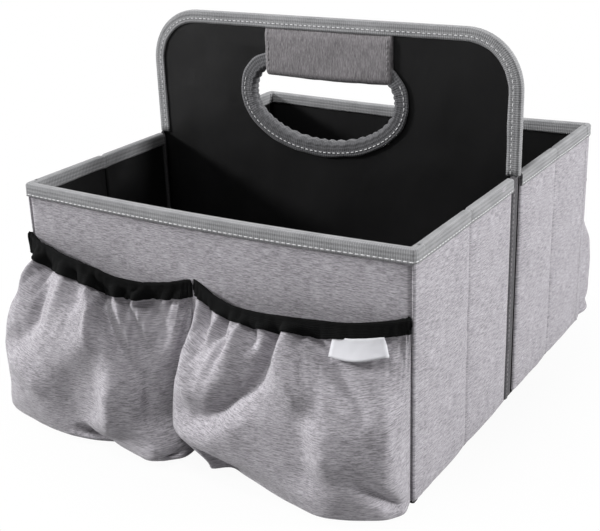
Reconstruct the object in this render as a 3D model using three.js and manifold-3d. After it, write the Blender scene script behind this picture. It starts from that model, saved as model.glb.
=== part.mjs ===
// A folding fabric caddy: an open box of stiffened cloth walls with a tall handled divider across its
// middle. The divider is the spine. Each half of the box folds flat against it: the four wall strips tuck
// inwards like gussets, the end panel slides in with its two gathered pockets, and the two mitred base
// boards rise between them. Millimetres, +Z up, -Y is the front with the label. The origin is on the floor
// under the middle of the divider.
import * as THREE from "three";
import { mergeVertices } from "three/addons/utils/BufferGeometryUtils.js";
import Module from "manifold-3d";

const wasm = await Module();
wasm.setup();

// Overall sizes.
const BOX_WIDTH = 280;
const BOX_LENGTH = 296;
const RIM_HEIGHT = 157;
const HANDLE_HEIGHT = 248;

// Cloth, board and tape thicknesses, from the outside of a wall to its inside.
const COVER = 1;
const BOARD = 2;
const LINING = 0.6;
const TAPE = 0.8;
const BASE_CLOTH = 1.2;
const DIVIDER_BOARD = 2.8;
const BASE_BOARD = 3;

// Clearances: between layers that are sewn together, and between pieces that only meet at a seam.
const LAYER_GAP = 0.05;
const SEAM_GAP = 0.3;
const OVERRUN = 2;

// Wall details.
const HEM = 2.5;
const TAPE_FACE = 8.5;
const CORNER_RADIUS = 3;
const DIVIDER_TAPE_FACE = 8.5;
const GROOVE_DEPTH = 4.2;
const SEAM_RIDGE = 2;
const SEAM_TAPE_FACE = 4;
const DIVIDER_CLEARANCE = 1.5;
const MITRE_CLEARANCE = 0.5;

// Divider, handle hole and sleeve.
const DIVIDER_OVERHANG = 1;
const DIVIDER_CORNER = 38;
const BAR_HEIGHT = 35;
const HOLE_WIDTH = 110;
const HOLE_CORNER_RUN = 16;
const HOLE_CORNER_RISE = 18;
const HOLE_DROP = 31;
const HOLE_TAPE_FACE = 10;
const SLEEVE_THICKNESS = 1.8;
const SLEEVE_CLEARANCE = 0.5;
const SLEEVE_END_SHARE = 0.6;

// Pockets. Each mouth is given as the height of its cloth at the left end, in the middle and at the right
// end. The profile is a pocket's middle section: how far it stands out and how high, as shares.
const POCKET_CLOTH = 1.3;
const POCKET_DEPTH = 42.5;
const LEFT_MOUTH = [118.5, 102, 111.5];
const RIGHT_MOUTH = [111.5, 102, 113];
const POCKET_INSET = 1.65;
const POCKET_SEAM_X = -8;
const POCKET_PROFILE_SHARES = [
  [0, 0],
  [0.62, 0.004],
  [0.93, 0.018],
  [1, 0.07],
  [1, 0.22],
  [0.965, 0.42],
  [0.86, 0.62],
  [0.66, 0.8],
  [0.45, 0.92],
  [0.33, 1],
];
const BELLY_FULLNESS_SHARE = 3.3;
const MOUTH_FULLNESS_SHARE = 2.1;
const BELLY_TOP_SHARE = 0.3;

// How far each pocket spreads past its left and right seams, and the share of it at each height.
const LEFT_SPREAD = [9, -5];
const RIGHT_SPREAD = [8.5, 5];
const SPREAD_PEAK_SHARE = 6.75;
const SPREAD_HEIGHT_SHARES = [
  [0, 1.25],
  [0.1, 1.2],
  [0.25, 1],
  [0.45, 1],
  [0.65, 0.55],
  [0.85, 0.25],
  [1, 0.08],
];

// The main folds of each pocket. A fold has a width and a line of points: how far across the pocket, how
// far up it and how deep the fold is there, below zero inwards, all as shares.
const POCKET_CUT_WIDTH = 210;
const POCKET_CUT_HEIGHT = 155;
const FOLD_WIDTH = 10;
const FOLD_DEPTH = 8;
const FOLD_FOOT_SHARE = 0.12;
const ELASTIC_HOLD_SHARES = [0.86, 0.93];
const LEFT_FOLD_SHARES = [
  [0.7, [[0.16, 0.92, -0.3], [0.19, 0.78, -0.5], [0.15, 0.56, 0]]],
  [0.6, [[0.3, 0.92, -0.4], [0.3, 0.8, -0.4], [0.28, 0.66, 0]]],
  [0.7, [[0.465, 0.92, 0.35], [0.48, 0.76, 0.4], [0.44, 0.46, 0]]],
  [0.8, [[0.51, 0.92, -0.5], [0.56, 0.78, -0.65], [0.62, 0.66, -0.6], [0.76, 0.46, 0]]],
  [0.6, [[0.63, 0.92, -0.35], [0.7, 0.8, -0.4], [0.82, 0.6, 0]]],
  [0.6, [[0.76, 0.92, -0.4], [0.82, 0.8, -0.4], [0.88, 0.62, 0]]],
  [0.9, [[0.06, 0.54, -0.2], [0.14, 0.53, -0.5], [0.22, 0.55, -0.4], [0.32, 0.6, 0]]],
  [1, [[0.3, 0.52, 0], [0.34, 0.43, -0.45], [0.36, 0.33, -0.5], [0.37, 0.24, -0.2]]],
  [0.8, [[0.42, 0.46, 0], [0.44, 0.37, 0.3], [0.46, 0.28, 0.4], [0.49, 0.2, 0.2]]],
  [0.8, [[0.44, 0.3, 0], [0.52, 0.22, -0.6], [0.58, 0.15, -0.8]]],
];
const RIGHT_FOLD_SHARES = [
  [0.6, [[0.12, 0.92, -0.3], [0.14, 0.78, -0.4], [0.13, 0.68, 0]]],
  [0.6, [[0.22, 0.92, -0.35], [0.245, 0.8, -0.4], [0.26, 0.68, 0]]],
  [0.6, [[0.32, 0.92, -0.35], [0.34, 0.81, -0.4], [0.36, 0.7, 0]]],
  [0.6, [[0.41, 0.92, -0.35], [0.425, 0.8, -0.35], [0.43, 0.7, 0]]],
  [0.9, [[0.54, 0.91, 0.4], [0.54, 0.8, 0.55], [0.52, 0.68, 0.4], [0.46, 0.56, 0]]],
  [0.9, [[0.48, 0.88, -0.4], [0.46, 0.74, -0.8], [0.42, 0.64, -0.9], [0.15, 0.49, -0.6], [0.05, 0.47, 0]]],
  [0.7, [[0.6, 0.92, -0.4], [0.64, 0.82, -0.5], [0.7, 0.73, -0.45], [0.78, 0.64, 0]]],
  [0.9, [[0.56, 0.5, 0], [0.66, 0.44, -0.4], [0.8, 0.38, -0.6], [0.93, 0.32, -0.2]]],
  [0.8, [[0.24, 0.34, 0], [0.29, 0.25, -0.7], [0.31, 0.15, -0.9]]],
];
const ELASTIC_HEAD = 7;
const ELASTIC_THICKNESS = 0.9;
const LABEL_THICKNESS = 0.8;

// Mesh fineness.
const ARC_STEPS = 10;
const POCKET_STEPS_ACROSS = 40;
const POCKET_STEPS_UP = 12;

// The label covers these of the pocket's columns and rows of facets.
const LABEL_COLUMNS = [25, 31];
const LABEL_ROWS = [9, 10.95];

// Where the wall layers lie, measured from the middle of the box.
const halfWidth = BOX_WIDTH / 2;
const halfLength = BOX_LENGTH / 2;
const trayDepth = COVER + LAYER_GAP + BOARD;
const wallThickness = trayDepth + LAYER_GAP + LINING;
const tapeReach = TAPE + LAYER_GAP;
const envelope = wallThickness + 2 * tapeReach;
const sideFace = halfWidth - tapeReach;
const sideHinge = halfWidth - envelope;
const panelFace = halfLength - tapeReach;
const panelInside = panelFace - wallThickness;
const wallFoot = BASE_CLOTH + SEAM_GAP;
const wallTop = RIM_HEIGHT - tapeReach;

// Hinge lines along the length, measured from the divider's middle plane.
const dividerFace = DIVIDER_BOARD / 2 + LAYER_GAP + LINING;
const dividerTapeFace = dividerFace + tapeReach;
const rearBoardHinge = dividerFace + DIVIDER_CLEARANCE;
const seamTapeHalf = rearBoardHinge + BASE_BOARD + SEAM_GAP;
const dividerHinge = seamTapeHalf + SEAM_GAP;
const foreBoardHinge = panelInside - SEAM_GAP;
const cornerHinge = foreBoardHinge - BASE_BOARD - SEAM_GAP;
const creaseLine = (dividerHinge + cornerHinge) / 2;
const baseCrease = (rearBoardHinge + foreBoardHinge) / 2;
const grooveFace = halfWidth - GROOVE_DEPTH;

const paint = {
  cloth: [0x9c9799, 0.92],
  tape: [0x85868a, 0.85],
  black: [0x141414, 0.6],
  elastic: [0x101010, 0.95],
  board: [0xb8b0a2, 0.9],
  label: [0xf2f2f0, 0.8],
};

function pieceOf(name, geometry, finish) {
  const [color, roughness] = paint[finish];
  const mesh = new THREE.Mesh(
    geometry,
    new THREE.MeshStandardMaterial({ color, roughness, metalness: 0 }),
  );
  mesh.name = name;
  return mesh;
}

function solidOf(geometry) {
  const bare = geometry.clone();
  bare.deleteAttribute("normal");
  bare.deleteAttribute("uv");
  const merged = mergeVertices(bare);
  const vertProperties = merged.attributes.position.array;
  const triVerts = new Uint32Array(merged.index.array);
  return new wasm.Manifold(new wasm.Mesh({ numProp: 3, vertProperties, triVerts }));
}

function geometryOf(solid) {
  const mesh = solid.getMesh();
  const geometry = new THREE.BufferGeometry();
  geometry.setAttribute("position", new THREE.BufferAttribute(mesh.vertProperties, 3));
  geometry.setIndex(new THREE.BufferAttribute(mesh.triVerts, 1));
  return geometry;
}

const cut = (from, ...tools) => {
  const left = tools.reduce((solid, tool) => solid.subtract(solidOf(tool)), solidOf(from));
  return geometryOf(left);
};

function block([x0, x1], [y0, y1], [z0, z1]) {
  const geometry = new THREE.BoxGeometry(x1 - x0, y1 - y0, z1 - z0);
  return geometry.translate((x0 + x1) / 2, (y0 + y1) / 2, (z0 + z1) / 2);
}

// A shape drawn in one plane and extruded along the third axis, from one place to another.
const planes = {
  x: [[0, 1, 0], [0, 0, 1], [1, 0, 0]],
  y: [[-1, 0, 0], [0, 0, 1], [0, 1, 0]],
  z: [[1, 0, 0], [0, 1, 0], [0, 0, 1]],
};

function extruded(shape, axis, from, to) {
  const geometry = new THREE.ExtrudeGeometry(shape, {
    depth: to - from,
    bevelEnabled: false,
    curveSegments: ARC_STEPS,
  });
  geometry.translate(0, 0, from);
  const basis = planes[axis].map((v) => new THREE.Vector3(...v));
  return geometry.applyMatrix4(new THREE.Matrix4().makeBasis(...basis));
}

function polygon(points) {
  return new THREE.Shape(points.map(([x, y]) => new THREE.Vector2(x, y)));
}

// One strip of a side wall, drawn on the right-hand side: a cloth tray with a turned-in hem, the board that
// drops into it, the lining that closes it, and the rim tape folded over its top edge.
function wallStrip(name, near, far) {
  const height = [wallFoot, wallTop];
  const inside = sideFace - wallThickness;
  const hemmed = ([low, high]) => [low + HEM, high - HEM];
  const fitted = ([low, high]) => [low + LAYER_GAP, high - LAYER_GAP];
  const nest = [sideFace - trayDepth - OVERRUN, sideFace - COVER];
  const boardSlot = [sideFace - trayDepth, sideFace - COVER - LAYER_GAP];
  const tapeProfile = polygon([
    [-halfWidth, RIM_HEIGHT - TAPE_FACE],
    [-halfWidth, RIM_HEIGHT],
    [-sideHinge, RIM_HEIGHT],
    [-sideHinge, RIM_HEIGHT - TAPE_FACE],
    [-sideHinge - TAPE, RIM_HEIGHT - TAPE_FACE],
    [-sideHinge - TAPE, RIM_HEIGHT - TAPE],
    [-halfWidth + TAPE, RIM_HEIGHT - TAPE],
    [-halfWidth + TAPE, RIM_HEIGHT - TAPE_FACE],
  ]);
  const run = [near, far];
  const cover = cut(
    block([sideFace - trayDepth, sideFace], run, height),
    block(nest, hemmed(run), hemmed(height)),
  );
  return [
    pieceOf(`${name}_cover`, cover, "cloth"),
    pieceOf(`${name}_board`, block(boardSlot, fitted(hemmed(run)), fitted(hemmed(height))), "board"),
    pieceOf(`${name}_lining`, block([inside, inside + LINING], run, height), "black"),
    pieceOf(`${name}_rim_tape`, extruded(tapeProfile, "y", near, far), "tape"),
  ];
}

// The plan of an end panel with its rolled corner seams, grown outwards on every side.
function panelPlan(grow, inner, end) {
  const half = sideFace + grow;
  const outer = panelFace + grow;
  const radius = CORNER_RADIUS + grow;
  const seam = sideHinge + SEAM_GAP - grow;
  const plan = new THREE.Shape();
  plan.moveTo(half, end);
  plan.lineTo(half, outer - radius);
  plan.absarc(half - radius, outer - radius, radius, 0, Math.PI / 2, false);
  plan.absarc(radius - half, outer - radius, radius, Math.PI / 2, Math.PI, false);
  plan.lineTo(-half, end);
  plan.lineTo(-seam, end);
  plan.lineTo(-seam, inner - grow);
  plan.lineTo(seam, inner - grow);
  plan.lineTo(seam, end);
  return plan;
}

// An end panel: the cloth cover with its corner seams, board, lining and rim tape.
function endPanel(name) {
  const cornerEnd = cornerHinge + SEAM_GAP;
  const coverPlan = panelPlan(0, panelFace - trayDepth, cornerEnd);
  const boardHalf = sideHinge - HEM;
  const height = [wallFoot + HEM, wallTop - HEM];
  const cover = cut(
    extruded(coverPlan, "z", wallFoot, wallTop),
    block([-boardHalf, boardHalf], [panelFace - trayDepth - OVERRUN, panelFace - COVER], height),
  );
  const fit = boardHalf - LAYER_GAP;
  const boardHeight = [height[0] + LAYER_GAP, height[1] - LAYER_GAP];
  const boardSlot = [panelFace - trayDepth, panelFace - COVER - LAYER_GAP];
  const liningHalf = sideHinge + SEAM_GAP - LAYER_GAP;
  const tapePlan = panelPlan(tapeReach, panelInside, cornerEnd);
  const tapeSlot = panelPlan(LAYER_GAP, panelInside, cornerEnd - OVERRUN);
  const tapeFoot = RIM_HEIGHT - TAPE_FACE;
  const tape = cut(
    extruded(tapePlan, "z", tapeFoot, RIM_HEIGHT),
    extruded(tapeSlot, "z", tapeFoot - OVERRUN, RIM_HEIGHT - TAPE),
  );
  const lining = block(
    [-liningHalf, liningHalf],
    [panelInside, panelInside + LINING],
    [wallFoot, wallTop],
  );
  return [
    pieceOf(`${name}_cover`, cover, "cloth"),
    pieceOf(`${name}_board`, block([-fit, fit], boardSlot, boardHeight), "board"),
    pieceOf(`${name}_lining`, lining, "black"),
    pieceOf(`${name}_rim_tape`, tape, "tape"),
  ];
}

// A base board narrows by as much as it is deep, so that the folding wall strips pass beside it.
function baseBoard(name, hinge, tip) {
  const wide = sideHinge - MITRE_CLEARANCE;
  const narrow = wide - Math.abs(tip - hinge);
  const outline = polygon([
    [-wide, hinge],
    [-narrow, tip],
    [narrow, tip],
    [wide, hinge],
  ]);
  return pieceOf(name, extruded(outline, "z", wallFoot, wallFoot + BASE_BOARD), "black");
}

function baseCloth(name) {
  const half = sideFace;
  const corner = panelFace - CORNER_RADIUS;
  const plan = new THREE.Shape();
  plan.moveTo(half, SEAM_GAP / 2);
  plan.lineTo(half, corner);
  plan.absarc(half - CORNER_RADIUS, corner, CORNER_RADIUS, 0, Math.PI / 2, false);
  plan.absarc(CORNER_RADIUS - half, corner, CORNER_RADIUS, Math.PI / 2, Math.PI, false);
  plan.lineTo(-half, SEAM_GAP / 2);
  return pieceOf(name, extruded(plan, "z", 0, BASE_CLOTH), "black");
}

const pocketPlane = panelFace + SEAM_GAP;
const smooth = (from, to, value) => THREE.MathUtils.smoothstep(value, from, to);

// A point moved off the surface by so much outwards and upwards, kept clear of the panel and of the cloth
// under the floor, which the pocket slides over when its half is folded.
function offsetPoint(at, { outwards, upwards }, out, rise) {
  const moved = at.clone().addScaledVector(outwards, out).addScaledVector(upwards, rise);
  moved.y = Math.max(moved.y, pocketPlane);
  moved.z = Math.max(moved.z, wallFoot);
  return moved.toArray();
}

const pocketProfile = new THREE.SplineCurve(
  POCKET_PROFILE_SHARES.map(([out, up]) => new THREE.Vector2(out, up)),
);

// The value at a place in a list of [place, value] points, on straight lines between them.
function between(points, place) {
  const next = Math.max(1, points.findIndex(([at]) => at >= place));
  const [[from, low], [to, high]] = [points[next - 1], points[next]];
  return THREE.MathUtils.mapLinear(place, from, to, low, high);
}

// How deep all folds together are at a place on the cloth.
function foldDepth(folds, across, up) {
  const here = new THREE.Vector3(across * POCKET_CUT_WIDTH, up * POCKET_CUT_HEIGHT, 0);
  const cutPoint = ([a, u]) => new THREE.Vector3(a * POCKET_CUT_WIDTH, u * POCKET_CUT_HEIGHT, 0);
  let depth = 0;
  for (const [width, line] of folds) {
    let nearest = Infinity;
    let found = 0;
    for (let i = 1; i < line.length; i++) {
      const run = new THREE.Line3(cutPoint(line[i - 1]), cutPoint(line[i]));
      const share = run.closestPointToPointParameter(here, true);
      const distance = run.at(share, new THREE.Vector3()).distanceTo(here);
      if (distance < nearest) {
        nearest = distance;
        found = THREE.MathUtils.lerp(line[i - 1][2], line[i][2], share);
      }
    }
    depth += FOLD_DEPTH * found * Math.exp(-((nearest / (width * FOLD_WIDTH)) ** 2));
  }
  return depth;
}

// The outer surface of a pocket between two side seams: across runs from one seam to the other, up from the
// foot seam to the mouth.
function pocketSurface([left, right], mouth, spread, folds) {
  const middle = (left + right) / 2;
  const half = (right - left) / 2;
  const foot = wallFoot + SEAM_GAP;
  const [leftTop, middleTop, rightTop] = mouth;
  const sack = (across, up) => {
    const { x: out, y: rise } = pocketProfile.getPoint(up);
    const turn = Math.PI * (1 - across);
    const belly = 1 - smooth(BELLY_TOP_SHARE, 1, rise);
    const roundness = THREE.MathUtils.lerp(MOUTH_FULLNESS_SHARE, BELLY_FULLNESS_SHARE, belly);
    const swell = (value) => Math.sign(value) * Math.abs(value) ** (2 / roundness);
    const stand = swell(Math.sin(turn));
    const side = Math.sign(Math.cos(turn));
    const reach = side < 0 ? spread[0] : spread[1];
    const peak = SPREAD_PEAK_SHARE * stand ** 2 * (1 - stand);
    const widened = side * reach * peak * between(SPREAD_HEIGHT_SHARES, rise) * out;
    const ends = THREE.MathUtils.lerp(leftTop, rightTop, across);
    const top = ends + (middleTop - (leftTop + rightTop) / 2) * Math.sin(turn);
    return new THREE.Vector3(
      middle + half * swell(Math.cos(turn)) + widened,
      pocketPlane + POCKET_DEPTH * out * stand,
      foot + (top - foot) * rise,
    );
  };
  return (across, up) => {
    const held = Math.sqrt(Math.sin(Math.PI * across)) * smooth(0, FOLD_FOOT_SHARE, up);
    const free = 1 - smooth(...ELASTIC_HOLD_SHARES, up);
    const depth = held * free * foldDepth(folds, across, up);
    if (!depth) return sack(across, up);
    const folded = sack(across, up).addScaledVector(pocketFrame(sack, across, up).outwards, depth);
    folded.y = Math.max(folded.y, pocketPlane);
    folded.z = Math.max(folded.z, foot);
    return folded;
  };
}

// The surface's outward normal and its upward direction at a point, from nearby points.
function pocketFrame(surface, across, up) {
  const step = 1e-3;
  const around = (value) => [Math.max(0, value - step), Math.min(1, value + step)];
  const [a0, a1] = around(across);
  const [u0, u1] = around(up);
  const sideways = surface(a1, up).sub(surface(a0, up)).normalize();
  const upwards = surface(across, u1).sub(surface(across, u0)).normalize();
  const outwards = upwards.clone().cross(sideways).normalize();
  return { upwards, outwards };
}

function meshOf(positions, faces) {
  const geometry = new THREE.BufferGeometry();
  geometry.setAttribute("position", new THREE.Float32BufferAttribute(positions, 3));
  geometry.setIndex(faces);
  return geometry;
}

// A sheet of the surface between two offsets from it, closed all round.
function sheetOn(surface, [a0, a1], [u0, u1], steps, [inner, outer]) {
  const [nAcross, nUp] = steps;
  const row = nUp + 1;
  const count = (nAcross + 1) * row;
  const outside = [];
  const inside = [];
  for (let i = 0; i <= nAcross; i++) {
    for (let j = 0; j <= nUp; j++) {
      const across = a0 + ((a1 - a0) * i) / nAcross;
      const up = u0 + ((u1 - u0) * j) / nUp;
      const at = surface(across, up);
      const frame = pocketFrame(surface, across, up);
      outside.push(...offsetPoint(at, frame, outer, 0));
      inside.push(...offsetPoint(at, frame, inner, 0));
    }
  }
  const faces = [];
  const quad = (a, b, c, d) => faces.push(a, b, c, a, c, d);
  for (let i = 0; i < nAcross; i++) {
    for (let j = 0; j < nUp; j++) {
      const k = i * row + j;
      quad(k, k + 1, k + row + 1, k + row);
      quad(count + k, count + k + row, count + k + row + 1, count + k + 1);
    }
  }
  for (let i = 0; i < nAcross; i++) {
    const foot = i * row;
    const head = foot + nUp;
    quad(foot, foot + row, count + foot + row, count + foot);
    quad(head, count + head, count + head + row, head + row);
  }
  for (let j = 0; j < nUp; j++) {
    const last = nAcross * row + j;
    quad(j, count + j, count + j + 1, j + 1);
    quad(last, last + 1, count + last + 1, count + last);
  }
  return meshOf([...outside, ...inside], faces);
}

// The elastic folded over the pocket's mouth. Its section is listed as how far up the pocket, how far out
// from it and how far above it each point is, and it uses the cloth's own last row of facets so that the
// two lie together.
function mouthElastic(surface) {
  const slack = POCKET_CLOTH + SEAM_GAP;
  const back = slack + ELASTIC_THICKNESS;
  const face = SEAM_GAP + ELASTIC_THICKNESS;
  const lap = 1 - 1 / POCKET_STEPS_UP;
  const section = [
    [lap, face, 0],
    [1, face, 0],
    [1, face, ELASTIC_HEAD],
    [1, -back, ELASTIC_HEAD],
    [1, -back, 0],
    [lap, -back, 0],
    [lap, -slack, 0],
    [1, -slack, 0],
    [1, -slack, SEAM_GAP],
    [1, SEAM_GAP, SEAM_GAP],
    [1, SEAM_GAP, 0],
    [lap, SEAM_GAP, 0],
  ];
  const points = section.length;
  const positions = [];
  for (let i = 0; i <= POCKET_STEPS_ACROSS; i++) {
    for (const [up, out, rise] of section) {
      const across = i / POCKET_STEPS_ACROSS;
      const frame = pocketFrame(surface, across, up);
      positions.push(...offsetPoint(surface(across, up), frame, out, rise));
    }
  }
  const faces = [];
  for (let i = 0; i < POCKET_STEPS_ACROSS; i++) {
    for (let j = 0; j < points; j++) {
      const next = (j + 1) % points;
      const [a, b] = [i * points + j, i * points + next];
      const [c, d] = [b + points, a + points];
      if (section[next][0] < section[j][0]) faces.push(a, b, d, b, c, d);
      else faces.push(a, b, c, a, c, d);
    }
  }
  const ends = section.map(([up, out, rise]) => new THREE.Vector2(out, up * POCKET_CUT_HEIGHT + rise));
  const last = POCKET_STEPS_ACROSS * points;
  for (const [a, b, c] of THREE.ShapeUtils.triangulateShape(ends, [])) {
    faces.push(a, c, b);
    faces.push(last + a, last + b, last + c);
  }
  return meshOf(positions, faces);
}

const clothSteps = [POCKET_STEPS_ACROSS, POCKET_STEPS_UP];

function pocket(panel, side, surface) {
  const cloth = sheetOn(surface, [0, 1], [0, 1], clothSteps, [-POCKET_CLOTH, 0]);
  return [
    pieceOf(`${panel}_pocket_${side}`, cloth, "cloth"),
    pieceOf(`${panel}_pocket_elastic_${side}`, mouthElastic(surface), "elastic"),
  ];
}

const pocketEdge = sideFace - POCKET_INSET;
const pocketSeamHalf = ELASTIC_THICKNESS + 2 * SEAM_GAP;
const leftSeams = [-pocketEdge, POCKET_SEAM_X - pocketSeamHalf];
const rightSeams = [POCKET_SEAM_X + pocketSeamHalf, pocketEdge];
const leftPocket = pocketSurface(leftSeams, LEFT_MOUTH, LEFT_SPREAD, LEFT_FOLD_SHARES);
const rightPocket = pocketSurface(rightSeams, RIGHT_MOUTH, RIGHT_SPREAD, RIGHT_FOLD_SHARES);

function label() {
  const across = LABEL_COLUMNS.map((column) => column / POCKET_STEPS_ACROSS);
  const up = LABEL_ROWS.map((row) => row / POCKET_STEPS_UP);
  const steps = [LABEL_COLUMNS[1] - LABEL_COLUMNS[0], 2];
  const sheet = sheetOn(rightPocket, across, up, steps, [SEAM_GAP, SEAM_GAP + LABEL_THICKNESS]);
  return pieceOf("label_tag", sheet, "label");
}

// Half of the box, drawn behind the divider. The front half is the same half mirrored.
function halfBox(name) {
  const half = new THREE.Group();
  for (const [side, mirror] of [["right", 1], ["left", -1]]) {
    const wall = new THREE.Group();
    wall.scale.x = mirror;
    wall.add(...wallStrip(`${name}_${side}_inner`, dividerHinge + SEAM_GAP, creaseLine - SEAM_GAP));
    wall.add(...wallStrip(`${name}_${side}_outer`, creaseLine + SEAM_GAP, cornerHinge - SEAM_GAP));
    half.add(wall);
  }
  half.add(...endPanel(`${name}_panel`));
  half.add(...pocket(name, "left", leftPocket));
  half.add(...pocket(name, "right", rightPocket));
  half.add(baseBoard(`${name}_base_board_rear`, rearBoardHinge, baseCrease - SEAM_GAP));
  half.add(baseBoard(`${name}_base_board_fore`, foreBoardHinge, baseCrease + SEAM_GAP));
  half.add(baseCloth(`${name}_base_cloth`));
  return half;
}

// The divider's outline: narrow between the walls, full width above the rim, with round top corners.
const dividerHalf = halfWidth + DIVIDER_OVERHANG;
const ledge = RIM_HEIGHT + SEAM_GAP;

function dividerOutline(inset, foot) {
  const low = grooveFace + SEAM_RIDGE - inset;
  const high = dividerHalf - inset;
  const radius = DIVIDER_CORNER - inset;
  const top = HANDLE_HEIGHT - inset;
  const outline = new THREE.Shape();
  outline.moveTo(low, foot);
  outline.lineTo(low, ledge + inset);
  outline.lineTo(high, ledge + inset);
  outline.absarc(high - radius, top - radius, radius, 0, Math.PI / 2, false);
  outline.absarc(radius - high, top - radius, radius, Math.PI / 2, Math.PI, false);
  outline.lineTo(-high, ledge + inset);
  outline.lineTo(-low, ledge + inset);
  outline.lineTo(-low, foot);
  return outline;
}

// What the divider's tape leaves open: its face is wide above the rim and narrow between the walls.
function tapeWindow() {
  const low = grooveFace - SEAM_TAPE_FACE;
  const high = dividerHalf - DIVIDER_TAPE_FACE;
  const radius = DIVIDER_CORNER - DIVIDER_TAPE_FACE;
  const top = HANDLE_HEIGHT - DIVIDER_TAPE_FACE;
  const window = new THREE.Shape();
  window.moveTo(low, -OVERRUN);
  window.lineTo(low, ledge);
  window.lineTo(high, ledge);
  window.absarc(high - radius, top - radius, radius, 0, Math.PI / 2, false);
  window.absarc(radius - high, top - radius, radius, Math.PI / 2, Math.PI, false);
  window.lineTo(-high, ledge);
  window.lineTo(-low, ledge);
  window.lineTo(-low, -OVERRUN);
  return window;
}

// The handle hole: flat on top with round corners and a half ellipse below, grown on every side.
const holeHalf = HOLE_WIDTH / 2;
const holeFlat = holeHalf - HOLE_CORNER_RUN;
const holeWide = HANDLE_HEIGHT - BAR_HEIGHT - HOLE_CORNER_RISE;

function holeOutline(grow) {
  const run = HOLE_CORNER_RUN + grow;
  const rise = HOLE_CORNER_RISE + grow;
  const hole = new THREE.Shape();
  hole.absellipse(holeFlat, holeWide, run, rise, 0, Math.PI / 2, false);
  hole.absellipse(-holeFlat, holeWide, run, rise, Math.PI / 2, Math.PI, false);
  hole.absellipse(0, holeWide, holeHalf + grow, HOLE_DROP + grow, Math.PI, 2 * Math.PI, false);
  return hole;
}

const slab = (shape, half) => extruded(shape, "y", -half, half);
const holeEdge = tapeReach + LAYER_GAP;
const through = dividerTapeFace + OVERRUN;

function dividerBoard() {
  const foot = wallFoot + LINING + LAYER_GAP;
  const board = slab(dividerOutline(tapeReach + LAYER_GAP, foot), DIVIDER_BOARD / 2);
  return pieceOf("divider_board", cut(board, slab(holeOutline(holeEdge), through)), "board");
}

// One sheet of lining, folded under the foot of the board and up both its faces.
function dividerLining() {
  const sheet = slab(dividerOutline(tapeReach, wallFoot), dividerFace);
  const hollow = slab(dividerOutline(-OVERRUN, wallFoot + LINING), DIVIDER_BOARD / 2 + LAYER_GAP);
  return pieceOf("divider_lining", cut(sheet, hollow, slab(holeOutline(tapeReach), through)), "black");
}

// The tape folded over the divider's edge. Between the walls its seam allowance lies flat on both sides,
// and makes the floor of the groove that shows outside.
function dividerTape() {
  const full = solidOf(slab(dividerOutline(0, wallFoot), dividerTapeFace));
  const slot = solidOf(slab(dividerOutline(TAPE, -OVERRUN), dividerFace + LAYER_GAP));
  const window = solidOf(slab(tapeWindow(), through));
  const allowance = [wallFoot, ledge + TAPE];
  const span = [-seamTapeHalf, seamTapeHalf];
  const right = solidOf(block([grooveFace - TAPE, grooveFace], span, allowance));
  const left = solidOf(block([-grooveFace, TAPE - grooveFace], span, allowance));
  const tape = full.add(right).add(left).subtract(slot).subtract(window);
  return pieceOf("divider_tape", geometryOf(tape), "tape");
}

function holeTape() {
  const ring = slab(holeOutline(HOLE_TAPE_FACE), dividerTapeFace);
  const core = cut(
    slab(holeOutline(HOLE_TAPE_FACE + OVERRUN), dividerFace + LAYER_GAP),
    slab(holeOutline(TAPE), through),
  );
  return pieceOf("handle_hole_tape", cut(ring, slab(holeOutline(0), through), core), "tape");
}

// The sleeve hangs from under the top tape, passes below the bar and comes up the back.
function handleSleeve() {
  const lap = HOLE_CORNER_RUN * SLEEVE_END_SHARE;
  const end = holeFlat + lap;
  const edge = holeWide + HOLE_CORNER_RISE * Math.sqrt(1 - SLEEVE_END_SHARE ** 2);
  const inner = dividerTapeFace + LAYER_GAP;
  const outer = inner + SLEEVE_THICKNESS;
  const foot = edge - SLEEVE_CLEARANCE - SLEEVE_THICKNESS;
  const top = HANDLE_HEIGHT - DIVIDER_TAPE_FACE - LAYER_GAP;
  const round = SLEEVE_THICKNESS;
  const section = new THREE.Shape();
  section.moveTo(outer, top);
  section.lineTo(inner, top);
  section.lineTo(inner, foot + round);
  section.lineTo(-inner, foot + round);
  section.lineTo(-inner, top);
  section.lineTo(-outer, top);
  section.absarc(round - outer, foot + round, round, Math.PI, 1.5 * Math.PI, false);
  section.absarc(outer - round, foot + round, round, 1.5 * Math.PI, 2 * Math.PI, false);
  return pieceOf("handle_sleeve", extruded(section, "x", -end, end), "cloth");
}

const caddy = new THREE.Group();
const back = halfBox("back");
const front = halfBox("front");
front.add(label());
front.scale.y = -1;
caddy.add(dividerBoard(), dividerLining(), dividerTape(), holeTape(), handleSleeve(), back, front);

export default caddy;
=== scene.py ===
# %% [markdown]
# # A folding fabric storage box
# The real box is a caddy sewn from heather grey cloth over stiff boards. A tall black-lined divider with a
# hand hole stands across the middle, ribbed tape binds every raw edge, and gathered pockets hang on both
# ends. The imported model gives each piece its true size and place. This lesson dresses it in cloth: every
# visible surface is a mesh worked out from the frame's boxes, so that nothing has to be fitted by hand
# afterwards.

import math

import bpy
import numpy as np
from mathutils import Matrix, Vector, noise


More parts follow.
